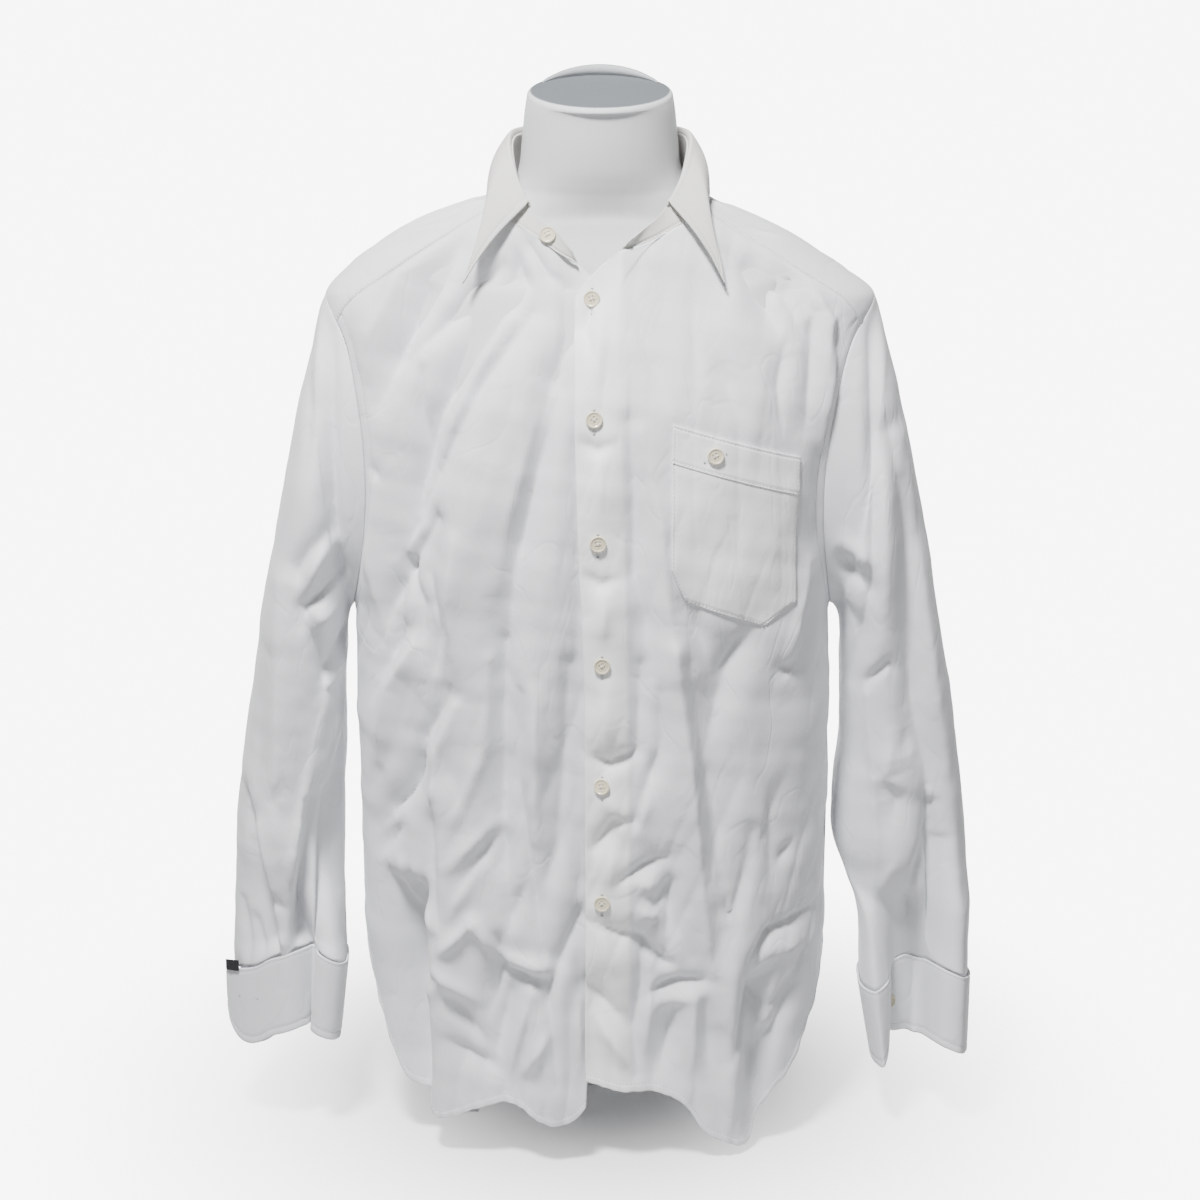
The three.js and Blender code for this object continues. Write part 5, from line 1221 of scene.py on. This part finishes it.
def makeStitching():
    paths = []
    for name, edge, inset, first, last in sewing["lines"]:
        line, normals = insetLine(name, edge, inset, first, last)
        paths += stitchPaths(line, normals)
    half = sewing["holeLength"] / 2
    holes = [(x, z, 0, 0.1 + fronts["bandRise"]) for x, z in buttons["front"]]
    holes.append((*pocket["button"], 70, pocket["lift"] + pocket["bandCloth"] + 0.1))
    for x, z, lean, lift in holes:
        dx = half * math.sin(lean * degree)
        dz = half * math.cos(lean * degree)
        ends = frontPoint(np.array([x - dx, x + dx]), np.array([z - dz, z + dz]) - 1.5, lift)
        normal = frontNormal(np.array([float(x)]), np.array([float(z)]))[0]
        paths += buttonholePaths(ends[0], ends[1], normal)
    grid, normals = cloths["shirtCuffLeft"]
    ends = []
    for x, z in sewing["cuffHole"]:
        away = np.hypot(grid[..., 0] - x, grid[..., 2] - z) + np.maximum(0, grid[..., 1] + 15)
        nearest = np.unravel_index(np.argmin(away), away.shape)
        ends.append((grid[nearest], normals[nearest]))
    paths += buttonholePaths(ends[0][0], ends[1][0], unit(ends[0][1] + ends[1][1]))
    return threadMesh("shirtStitching", paths, sewing["radius"])


# The form: torso rings, neck and its tilted top
form = {
    "rings": table(
        "z half front back",
        (118, 62, 40, 46), (124, 96, 58, 62), (142, 124, 74, 78), (200, 140, 84, 88),
        (300, 137, 86, 84), (400, 140, 92, 84), (480, 150, 100, 86), (560, 164, 104, 92),
        (620, 174, 96, 92), (655, 178, 84, 86), (680, 176, 73, 78)),
    "shoulders": (694, 704, 714, 723, 731, 738),
    "clearance": 0.7, "frontClearance": 9,
    "neck": table(
        "z half front back",
        (748, 74, 49.5, 58), (757, 65, 52, 57), (768, 60.5, 54.5, 57), (785, 58.5, 56, 57.5),
        (806, 56.5, 56.5, 58)),
    "top": {"half": 54.5, "depth": 59, "frontZ": 813, "backZ": 833, "edge": 4},
    "crest": {"height": 7, "thickness": 5, "halfAngle": 62},
    "around": 120,
}


def ellipseRing(z, half, frontDepth, backDepth, power):
    a = np.arange(form["around"]) * 2 * math.pi / form["around"]
    s = np.sin(a)
    c = np.cos(a)
    depth = np.where(c > 0, frontDepth, backDepth)
    r = ((np.abs(s) / half) ** power + (np.abs(c) / depth) ** power) ** (-1 / power)
    return stack(r * s, -r * c, z)


def ringRows(rows, power):
    sizes = zip(rows["z"], rows["half"], rows["front"], rows["back"])
    return [ellipseRing(z, half, front, back, power) for z, half, front, back in sizes]


def makeForm():
    rings = ringRows(form["rings"], 2.2)
    a = np.arange(form["around"]) * 2 * math.pi / form["around"]
    for z in form["shoulders"]:
        ahead = smooth(np.cos(a), 0.2, 0.6) * form["frontClearance"]
        level = np.full(len(a), float(z))
        offset = body["cloth"] + 0.3 + form["clearance"] + ahead
        rings.append(bodyPoint(a, level) - bodyNormal(a, level) * offset[:, None])
    rings += ringRows(form["neck"], 2.05)
    top = form["top"]

    def lid(inset, drop):
        ring = ellipseRing(0, top["half"] - inset, top["depth"] - inset, top["depth"] - inset, 2)
        ring[:, 2] = mix(top["frontZ"], top["backZ"], (ring[:, 1] / top["depth"] + 1) / 2) - drop
        return ring
    rings.append(lid(0, 4))
    rings = np.array(rings)
    # smooth rows up the form, then the rounded rim and flat lid
    count = len(rings)
    place = np.linspace(0, count - 1, 150)
    flatRings = rings.reshape(count, -1)
    i = np.clip(place.astype(int), 0, count - 2)
    t = (place - i)[:, None]
    a0 = flatRings[i]
    b0 = flatRings[i + 1]
    slopeA = (b0 - flatRings[np.maximum(i - 1, 0)]) / 2
    slopeB = (flatRings[np.minimum(i + 2, count - 1)] - a0) / 2
    fine = list(between(a0, b0, slopeA, slopeB, t).reshape(len(place), -1, 3))
    for turn in np.linspace(0.2, 1, 6):
        inset = top["edge"] * (1 - math.cos(turn * math.pi / 2))
        fine.append(lid(inset, 4 * (1 - math.sin(turn * math.pi / 2))))
    for inset in (6, 12, 22, 34, 46):
        fine.append(lid(inset, 0))
    fine = np.array(fine)
    size = fine.shape[1]
    index = np.arange(fine.shape[0] * size).reshape(fine.shape[0], size)
    nextOne = np.roll(index, -1, axis=1)
    quads = stack(index[:-1], nextOne[:-1], nextOne[1:], index[1:]).reshape(-1, 4)
    vertices = np.concatenate([fine.reshape(-1, 3), [fine[0].mean(axis=0)], [fine[-1].mean(axis=0)]])

    def fan(ring, centre):
        return stack(np.full(size // 2, centre), ring[0::2], ring[1::2], np.roll(ring, -2)[0::2])
    low = fan(index[0], len(vertices) - 2)
    high = fan(index[-1], len(vertices) - 1)
    faces = np.concatenate([quads, low[:, ::-1], high])
    return meshObject("formTorso", vertices, faces.astype(np.int32))


def makeCrest():
    top = form["top"]
    crest = form["crest"]
    half = top["half"] - top["edge"] - 0.5
    depth = top["depth"] - top["edge"] - 0.5
    share = np.linspace(0, 1, 60)
    a = (180 - crest["halfAngle"] + 2 * crest["halfAngle"] * share) * degree
    height = 0.6 + crest["height"] * np.sin(math.pi * share)
    thin = crest["thickness"] * (0.4 + 0.6 * np.sin(math.pi * share))

    def line(inset, up):
        y = -(depth - inset) * np.cos(a)
        lift = mix(top["frontZ"], top["backZ"], (y / top["depth"] + 1) / 2)
        return stack((half - inset) * np.sin(a), y, lift + up)
    section = [line(0, 0), line(thin, 0), line(thin, height * 0.85), line(thin * 0.7, height),
               line(thin * 0.3, height), line(0, height * 0.85)]
    grid = np.array(section).swapaxes(0, 1)
    index = np.arange(grid.shape[0] * 6).reshape(-1, 6)
    nextOne = np.roll(index, -1, axis=1)
    quads = stack(index[:-1], index[1:], nextOne[1:], nextOne[:-1]).reshape(-1, 4)
    caps = np.array([[0, 1, 2, 5], [2, 3, 4, 5]])
    faces = np.concatenate([quads, caps, caps[:, ::-1] + index[-1, 0]])
    return meshObject("formCrestLip", grid.reshape(-1, 3), faces.astype(np.int32))


class Signal:
    # a node's output that expressions can use
    def __init__(self, shader, socket):
        self.shader = shader
        self.socket = socket

    def math(self, operation, a, b):
        return self.shader.add("ShaderNodeMath", {"operation": operation}, {0: a, 1: b})

    def __add__(self, other):
        return self.math("ADD", self, other)

    def __radd__(self, other):
        return self.math("ADD", other, self)

    def __sub__(self, other):
        return self.math("SUBTRACT", self, other)

    def __rsub__(self, other):
        return self.math("SUBTRACT", other, self)

    def __mul__(self, other):
        return self.math("MULTIPLY", self, other)

    def __rmul__(self, other):
        return self.math("MULTIPLY", other, self)


class Finish:
    # a material whose nodes are added one by one
    def __init__(self, name, holder=None):
        self.material = holder or bpy.data.materials.new(name)
        self.material.use_nodes = True
        self.tree = self.material.node_tree
        self.tree.nodes.clear()

    def add(self, kind, settings=None, values=None, output=0):
        node = self.tree.nodes.new(kind)
        for key, value in (settings or {}).items():
            setattr(node, key, value)
        for key, value in (values or {}).items():
            if isinstance(value, Signal):
                self.tree.links.new(value.socket, node.inputs[key])
            else:
                node.inputs[key].default_value = value
        return Signal(self, node.outputs[output])

    def noise(self, place, scale, detail, **rest):
        return self.add("ShaderNodeTexNoise", {}, {"Vector": place, "Scale": scale, "Detail": detail, **rest})

    def blend(self, factor, a, b):
        return self.add("ShaderNodeMix", {"data_type": "RGBA"}, {0: factor, 6: a, 7: b}, 2)

    def surface(self, values):
        return self.close(self.add("ShaderNodeBsdfPrincipled", {}, values))

    def close(self, shader):
        output = self.tree.nodes.new("ShaderNodeOutputMaterial")
        self.tree.links.new(shader.socket, output.inputs["Surface"])
        return self.material


def cottonFinish(name, pale, shade, weaveSize=0.0009, crinkle=0.8, band=None):
    finish = Finish(name)
    place = finish.add("ShaderNodeTexCoord", {}, {}, 3)
    mottle = finish.noise(place, 9.0, 3.0, Roughness=0.5)
    grain = finish.noise(place, 1 / weaveSize, 2.0)
    slub = finish.add("ShaderNodeMapping", {},
                      {"Vector": place, "Rotation": (0.0, 0.7, 0.0), "Scale": (900.0, 300.0, 160.0)})
    twill = finish.noise(slub, 1.0, 1.0)
    creases = finish.noise(place, 45.0, 5.0, Roughness=0.55, Distortion=0.8)
    # thin uneven furrows where a stretched noise crosses its middle
    stretch = finish.add("ShaderNodeMapping", {}, {"Vector": place, "Scale": (24.0, 24.0, 11.0)})
    wander = finish.noise(stretch, 1.0, 2.0, Distortion=0.9)
    away = finish.add("ShaderNodeMath", {"operation": "ABSOLUTE"}, {0: wander - 0.5})
    furrow = finish.add("ShaderNodeMapRange", {"interpolation_type": "SMOOTHSTEP"},
                        {"Value": away, "From Max": 0.05})
    tone = mottle * 0.6 + grain * 0.25 + twill * 0.15
    colour = finish.blend(tone, shade, pale)
    if band:
        # the doubled strip under the buttons looks brighter than the single cloth
        across = finish.add("ShaderNodeSeparateXYZ", {}, {"Vector": place}, 0)
        height = finish.add("ShaderNodeSeparateXYZ", {}, {"Vector": place}, 2)
        edge = {"From Min": band["to"] + 0.002, "From Max": band["to"] - 0.002}
        strip = finish.add("ShaderNodeMapRange", {}, {"Value": across + height * band["slant"], **edge})
        colour = finish.blend(strip, colour, band["colour"])
    relief = (creases + furrow * mottle * 0.7) * crinkle + (grain * 0.5 + twill * 0.5) * 0.16
    bump = finish.add("ShaderNodeBump", {}, {"Strength": 0.6, "Distance": 0.001, "Height": relief})
    rough = 0.74 + grain * 0.14
    return finish.surface({"Base Color": colour, "Roughness": rough, "Normal": bump, "Sheen Weight": 0.12,
                           "Sheen Roughness": 0.5, "Specular IOR Level": 0.25})


def pearlFinish():
    finish = Finish("pearlButton")
    place = finish.add("ShaderNodeTexCoord", {}, {}, 3)
    swirl = finish.noise(place, 260.0, 3.0, Distortion=1.4)
    colour = finish.blend(swirl, (0.62, 0.55, 0.38, 1), (0.80, 0.74, 0.58, 1))
    rough = 0.22 + swirl * 0.16
    bump = finish.add("ShaderNodeBump", {}, {"Strength": 0.12, "Distance": 0.0004, "Height": swirl})
    return finish.surface({"Base Color": colour, "Roughness": rough, "Normal": bump, "Coat Weight": 0.3})


def threadFinish(name, pale, shade):
    finish = Finish(name)
    place = finish.add("ShaderNodeTexCoord", {}, {}, 3)
    twist = finish.noise(place, 2500.0, 1.0)
    colour = finish.blend(twist, shade, pale)
    return finish.surface({"Base Color": colour, "Roughness": 0.6 + twist * 0.2, "Sheen Weight": 0.2})


def tabFinish():
    finish = Finish("blackTab")
    place = finish.add("ShaderNodeTexCoord", {}, {}, 3)
    weave = finish.noise(place, 2200.0, 2.0)
    colour = finish.blend(weave, (0.003, 0.003, 0.004, 1), (0.012, 0.012, 0.014, 1))
    bump = finish.add("ShaderNodeBump", {}, {"Strength": 0.3, "Distance": 0.0003, "Height": weave})
    return finish.surface({"Base Color": colour, "Roughness": 0.7 + weave * 0.2, "Normal": bump,
                           "Sheen Weight": 0.03})


def formFinish(name, shade, pale):
    finish = Finish(name)
    place = finish.add("ShaderNodeTexCoord", {}, {}, 3)
    stretch = finish.add("ShaderNodeMapping", {}, {"Vector": place, "Scale": (220.0, 220.0, 14.0)})
    brush = finish.noise(stretch, 1.0, 4.0, Roughness=0.6)
    cloud = finish.noise(place, 14.0, 3.0)
    normal = finish.add("ShaderNodeNewGeometry", {}, {}, 1)
    up = finish.add("ShaderNodeSeparateXYZ", {}, {"Vector": normal}, 2)
    # faces that point up, like the form's top, get a near-black colour: painted shade
    paintedShadeLidMask = finish.add("ShaderNodeMapRange", {"clamp": True},
                         {"Value": up, "From Min": 0.85, "From Max": 0.97})
    skin = finish.blend(brush * 0.6 + cloud * 0.4, shade, pale)
    colour = finish.blend(paintedShadeLidMask, skin, (0.135, 0.147, 0.158, 1))
    bump = finish.add("ShaderNodeBump", {}, {"Strength": 0.15, "Distance": 0.0005, "Height": brush})
    return finish.surface({"Base Color": colour, "Roughness": 0.55 + brush * 0.2, "Normal": bump})


def metalFinish():
    finish = Finish("standPaint")
    place = finish.add("ShaderNodeTexCoord", {}, {}, 3)
    speck = finish.noise(place, 600.0, 3.0)
    colour = finish.blend(speck, (0.66, 0.67, 0.68, 1), (0.76, 0.77, 0.78, 1))
    bump = finish.add("ShaderNodeBump", {}, {"Strength": 0.1, "Distance": 0.0003, "Height": speck})
    return finish.surface({"Base Color": colour, "Roughness": 0.36 + speck * 0.14, "Normal": bump,
                           "Coat Weight": 0.15})


def floorFinish():
    # a pale floor that fades into the backdrop
    finish = Finish("paleFloor")
    place = finish.add("ShaderNodeTexCoord", {}, {}, 3)
    speck = finish.noise(place, 3.0, 2.0)
    colour = finish.blend(speck, (0.84, 0.84, 0.84, 1), (0.86, 0.86, 0.86, 1))
    reach = finish.add("ShaderNodeVectorMath", {"operation": "LENGTH"}, {0: place}, 1)
    fade = finish.add("ShaderNodeMapRange", {"interpolation_type": "SMOOTHSTEP"},
                      {"Value": reach, "From Min": stage["fadeFrom"], "From Max": stage["fadeTo"]})
    solid = finish.add("ShaderNodeBsdfPrincipled", {}, {"Base Color": colour, "Roughness": 0.9})
    clear = finish.add("ShaderNodeBsdfTransparent", {}, {})
    mixed = finish.add("ShaderNodeMixShader", {}, {0: fade, 1: solid, 2: clear})
    return finish.close(mixed)


stage = {
    "floorSize": 6, "fadeFrom": 0.05, "fadeTo": 0.55, "above": 0.12, "around": 0.7, "backdrop": 8.0,
    "lamps": {
        "keyLamp": {"at": (-0.4, -1.0, 2.4), "size": 0.36, "power": 127},
        "sideLamp": {"at": (-2.5, -1.2, 1.2), "size": 0.6, "power": 5},
        "fillLamp": {"at": (1.9, -1.9, 1.2), "size": 1.6, "power": 4},
    },
}


# Making and dressing the pieces
single = (0.80, 0.81, 0.83, 1)
singleShade = (0.745, 0.755, 0.78, 1)
doubled = (0.955, 0.96, 0.97, 1)
strip = {"to": 0.0255, "slant": 0.013, "colour": doubled}
buttonedCotton = cottonFinish("buttonedCotton", single, singleShade, band=strip)
doubledCotton = cottonFinish("doubledCotton", doubled, (0.91, 0.915, 0.93, 1))
cotton = cottonFinish("shirtCotton", single, singleShade)
# the collar's cotton is a darker copy of the shirt's cotton: painted shade for the collar's shadowed tone
collarCottonPaintedShade = cottonFinish("collarCottonPaintedShade", (0.67, 0.66, 0.635, 1), (0.61, 0.60, 0.575, 1), crinkle=0.08)
pearl = pearlFinish()
thread = threadFinish("buttonThreadWhite", (0.86, 0.86, 0.86, 1), (0.72, 0.72, 0.72, 1))
# the stitching thread is dark grey on the white shirt: painted shade for the shadows in its puckers
seamThreadPaintedShade = threadFinish("seamThreadPaintedShade", (0.46, 0.47, 0.49, 1), (0.34, 0.35, 0.37, 1))
formSkin = formFinish("formSkin", (0.60, 0.61, 0.625, 1), (0.70, 0.71, 0.72, 1))
# the crest lip is a darker copy of the form's skin: painted shade for its shadowed inner face
crestSkinPaintedShade = formFinish("crestSkinPaintedShade", (0.40, 0.41, 0.425, 1), (0.48, 0.49, 0.50, 1))
standPaint = metalFinish()


def dress(piece, material, nodes):
    piece.data.materials.append(material)
    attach(piece, "root")
    for node in nodes:
        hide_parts(node)
    return piece


frontUnder = makeFront("left")
frontOver = makeFront("right")
backPiece = makeBack()
yokePiece = makeYoke()
print("body panels made")
sleevePieces = {side: makeSleeve(side) for side in ("left", "right")}
cuffPieces = {side: makeCuff(side) for side in ("left", "right")}
print("sleeves and cuffs made")
standPiece = makeStand()
leafPiece = makeLeaf()
pocketPiece = makePocketPiece("shirtPocket", pocket["bandShare"], 1, 90, pocket["cloth"],
                              ("start", "end", "bottom"))
bandPiece = makePocketPiece("shirtPocketBand", 0, pocket["bandShare"], 30, pocket["bandCloth"],
                            ("start", "end", "bottom", "top"))
print("collar and pocket made")

dress(frontUnder, cotton, ["frontUnder"])
dress(frontOver, buttonedCotton, ["frontOver"])
dress(backPiece, cotton, ["back"])
dress(yokePiece, cotton, ["yoke"])
dress(sleevePieces["left"], cotton, ["sleeveLeft"])
dress(sleevePieces["right"], cotton, ["sleeveRight"])
dress(cuffPieces["left"], cotton, ["cuffLeft"])
dress(cuffPieces["right"], cotton, ["cuffRight"])
dress(standPiece, collarCottonPaintedShade, ["collarStand"])
dress(leafPiece, collarCottonPaintedShade, ["collarLeaf"])
dress(pocketPiece, doubledCotton, ["pocket"])
dress(bandPiece, doubledCotton, ["pocketBand"])

dress(makeForm(), formSkin, ["formBody"])
dress(makeCrest(), crestSkinPaintedShade, ["formCrest"])


def placeButtons():
    threads = []
    turns = (0.3, 0.9, 0.1, 0.6, 0.25, 0.75, 0.5)
    spots = [(f"button{i + 1}", x, z, 0.35 + fronts["bandRise"]) for i, (x, z) in enumerate(buttons["front"])]
    spots.append(("pocketButton", *pocket["button"], pocket["lift"] + pocket["bandCloth"] + 0.3))
    for (node, x, z, lift), turn in zip(spots, turns):
        xs = np.array([float(x)])
        zs = np.array([float(z)])
        place = frontPoint(xs, zs, lift)[0]
        piece, paths = makeButton(node + "Pearl", place, frontNormal(xs, zs)[0], turn)
        dress(piece, pearl, [node])
        threads += paths
    seamAt, topAt = standCurves()
    at = np.array([collar["buttonRow"]])
    seam = seamAt(at)[0]
    top = topAt(at)[0]
    along = (seamAt(at + 0.05) - seamAt(at - 0.05))[0]
    out = unit(np.cross(top - seam, along))
    if out[1] > 0:
        out = -out
    piece, paths = makeButton("collarButtonPearl", mix(seam, top, 0.5) + out * 0.4, out, 0.4)
    dress(piece, pearl, ["collarButton"])
    threads += paths
    for side, node, sign in (("left", "cuffButtonLeft", 1), ("right", "cuffButtonRight", -1)):
        curve, length = catmull(cuffs[side], False)
        share = 1 - cuffs["buttonFromEnd"] / length
        along = curve(share + 0.005) - curve(share - 0.005)
        out = unit(np.array([sign * along[1], -sign * along[0], 0]))
        place = curve(share) + out * 0.2 - np.array([0, 0, cuffs["buttonDrop"]])
        piece, paths = makeButton(node + "Pearl", place, out, 0.2)
        dress(piece, pearl, [node])
        threads += paths
    return threads


buttonThreads = placeButtons()
print("buttons made")

for node, material in (("formPole", standPaint), ("formBase", standPaint), ("cuffTab", tabFinish())):
    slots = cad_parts[node].data.materials
    slots.clear()
    slots.append(material)

threadPiece = threadMesh("buttonThread", buttonThreads, buttons["thread"])
dress(threadPiece, thread, [])
dress(makeStitching(), seamThreadPaintedShade, [])
print("stitching made")


def makeStage():
    bpy.ops.mesh.primitive_plane_add(size=stage["floorSize"], location=(0, 0, -0.0005))
    floor = bpy.context.object
    floor.name = "floor"
    floor.data.materials.append(floorFinish())
    world = bpy.data.worlds.new("paleWorld")
    sky = Finish("paleWorld", world)
    toward = sky.add("ShaderNodeTexCoord", {}, {}, 0)
    across = sky.add("ShaderNodeSeparateXYZ", {}, {"Vector": toward}, 1)
    height = sky.add("ShaderNodeSeparateXYZ", {}, {"Vector": toward}, 2)
    below = sky.add("ShaderNodeMapRange", {}, {"Value": height, "From Min": 0.1, "From Max": 0.02})
    behind = sky.add("ShaderNodeMapRange", {}, {"Value": across, "From Min": 0.7, "From Max": 0.84})
    level = stage["above"] + below * (stage["around"] - stage["above"])
    level = level + below * behind * (stage["backdrop"] - stage["around"])
    glow = sky.add("ShaderNodeBackground", {}, {"Color": (1, 1, 1, 1), "Strength": level})
    output = sky.tree.nodes.new("ShaderNodeOutputWorld")
    sky.tree.links.new(glow.socket, output.inputs["Surface"])
    bpy.context.scene.world = world
    for name, lamp in stage["lamps"].items():
        light = bpy.data.lights.new(name, "AREA")
        light.size = lamp["size"]
        light.energy = lamp["power"]
        holder = bpy.data.objects.new(name, light)
        holder.location = lamp["at"]
        aim = np.array([0, 0, 0.45]) - np.array(lamp["at"])
        tilt = math.atan2(math.hypot(aim[0], aim[1]), -aim[2])
        holder.rotation_euler = (tilt, 0, math.atan2(aim[0], -aim[1]) + math.pi)
        bpy.context.scene.collection.objects.link(holder)


def makeCamera():
    view = {"distance": 1.8, "height": 0.92, "aim": 0.43, "lens": 71.1}
    camera = bpy.data.cameras.new("photoCamera")
    camera.lens = view["lens"]
    camera.sensor_width = 36
    holder = bpy.data.objects.new("photoCamera", camera)
    holder.location = (0, -view["distance"] - standBack * mm, view["height"])
    tilt = math.atan2(view["height"] - view["aim"], view["distance"])
    holder.rotation_euler = (math.pi / 2 - tilt, 0, 0)
    bpy.context.scene.collection.objects.link(holder)
    bpy.context.scene.camera = holder


makeStage()
makeCamera()
print("stage and camera made")
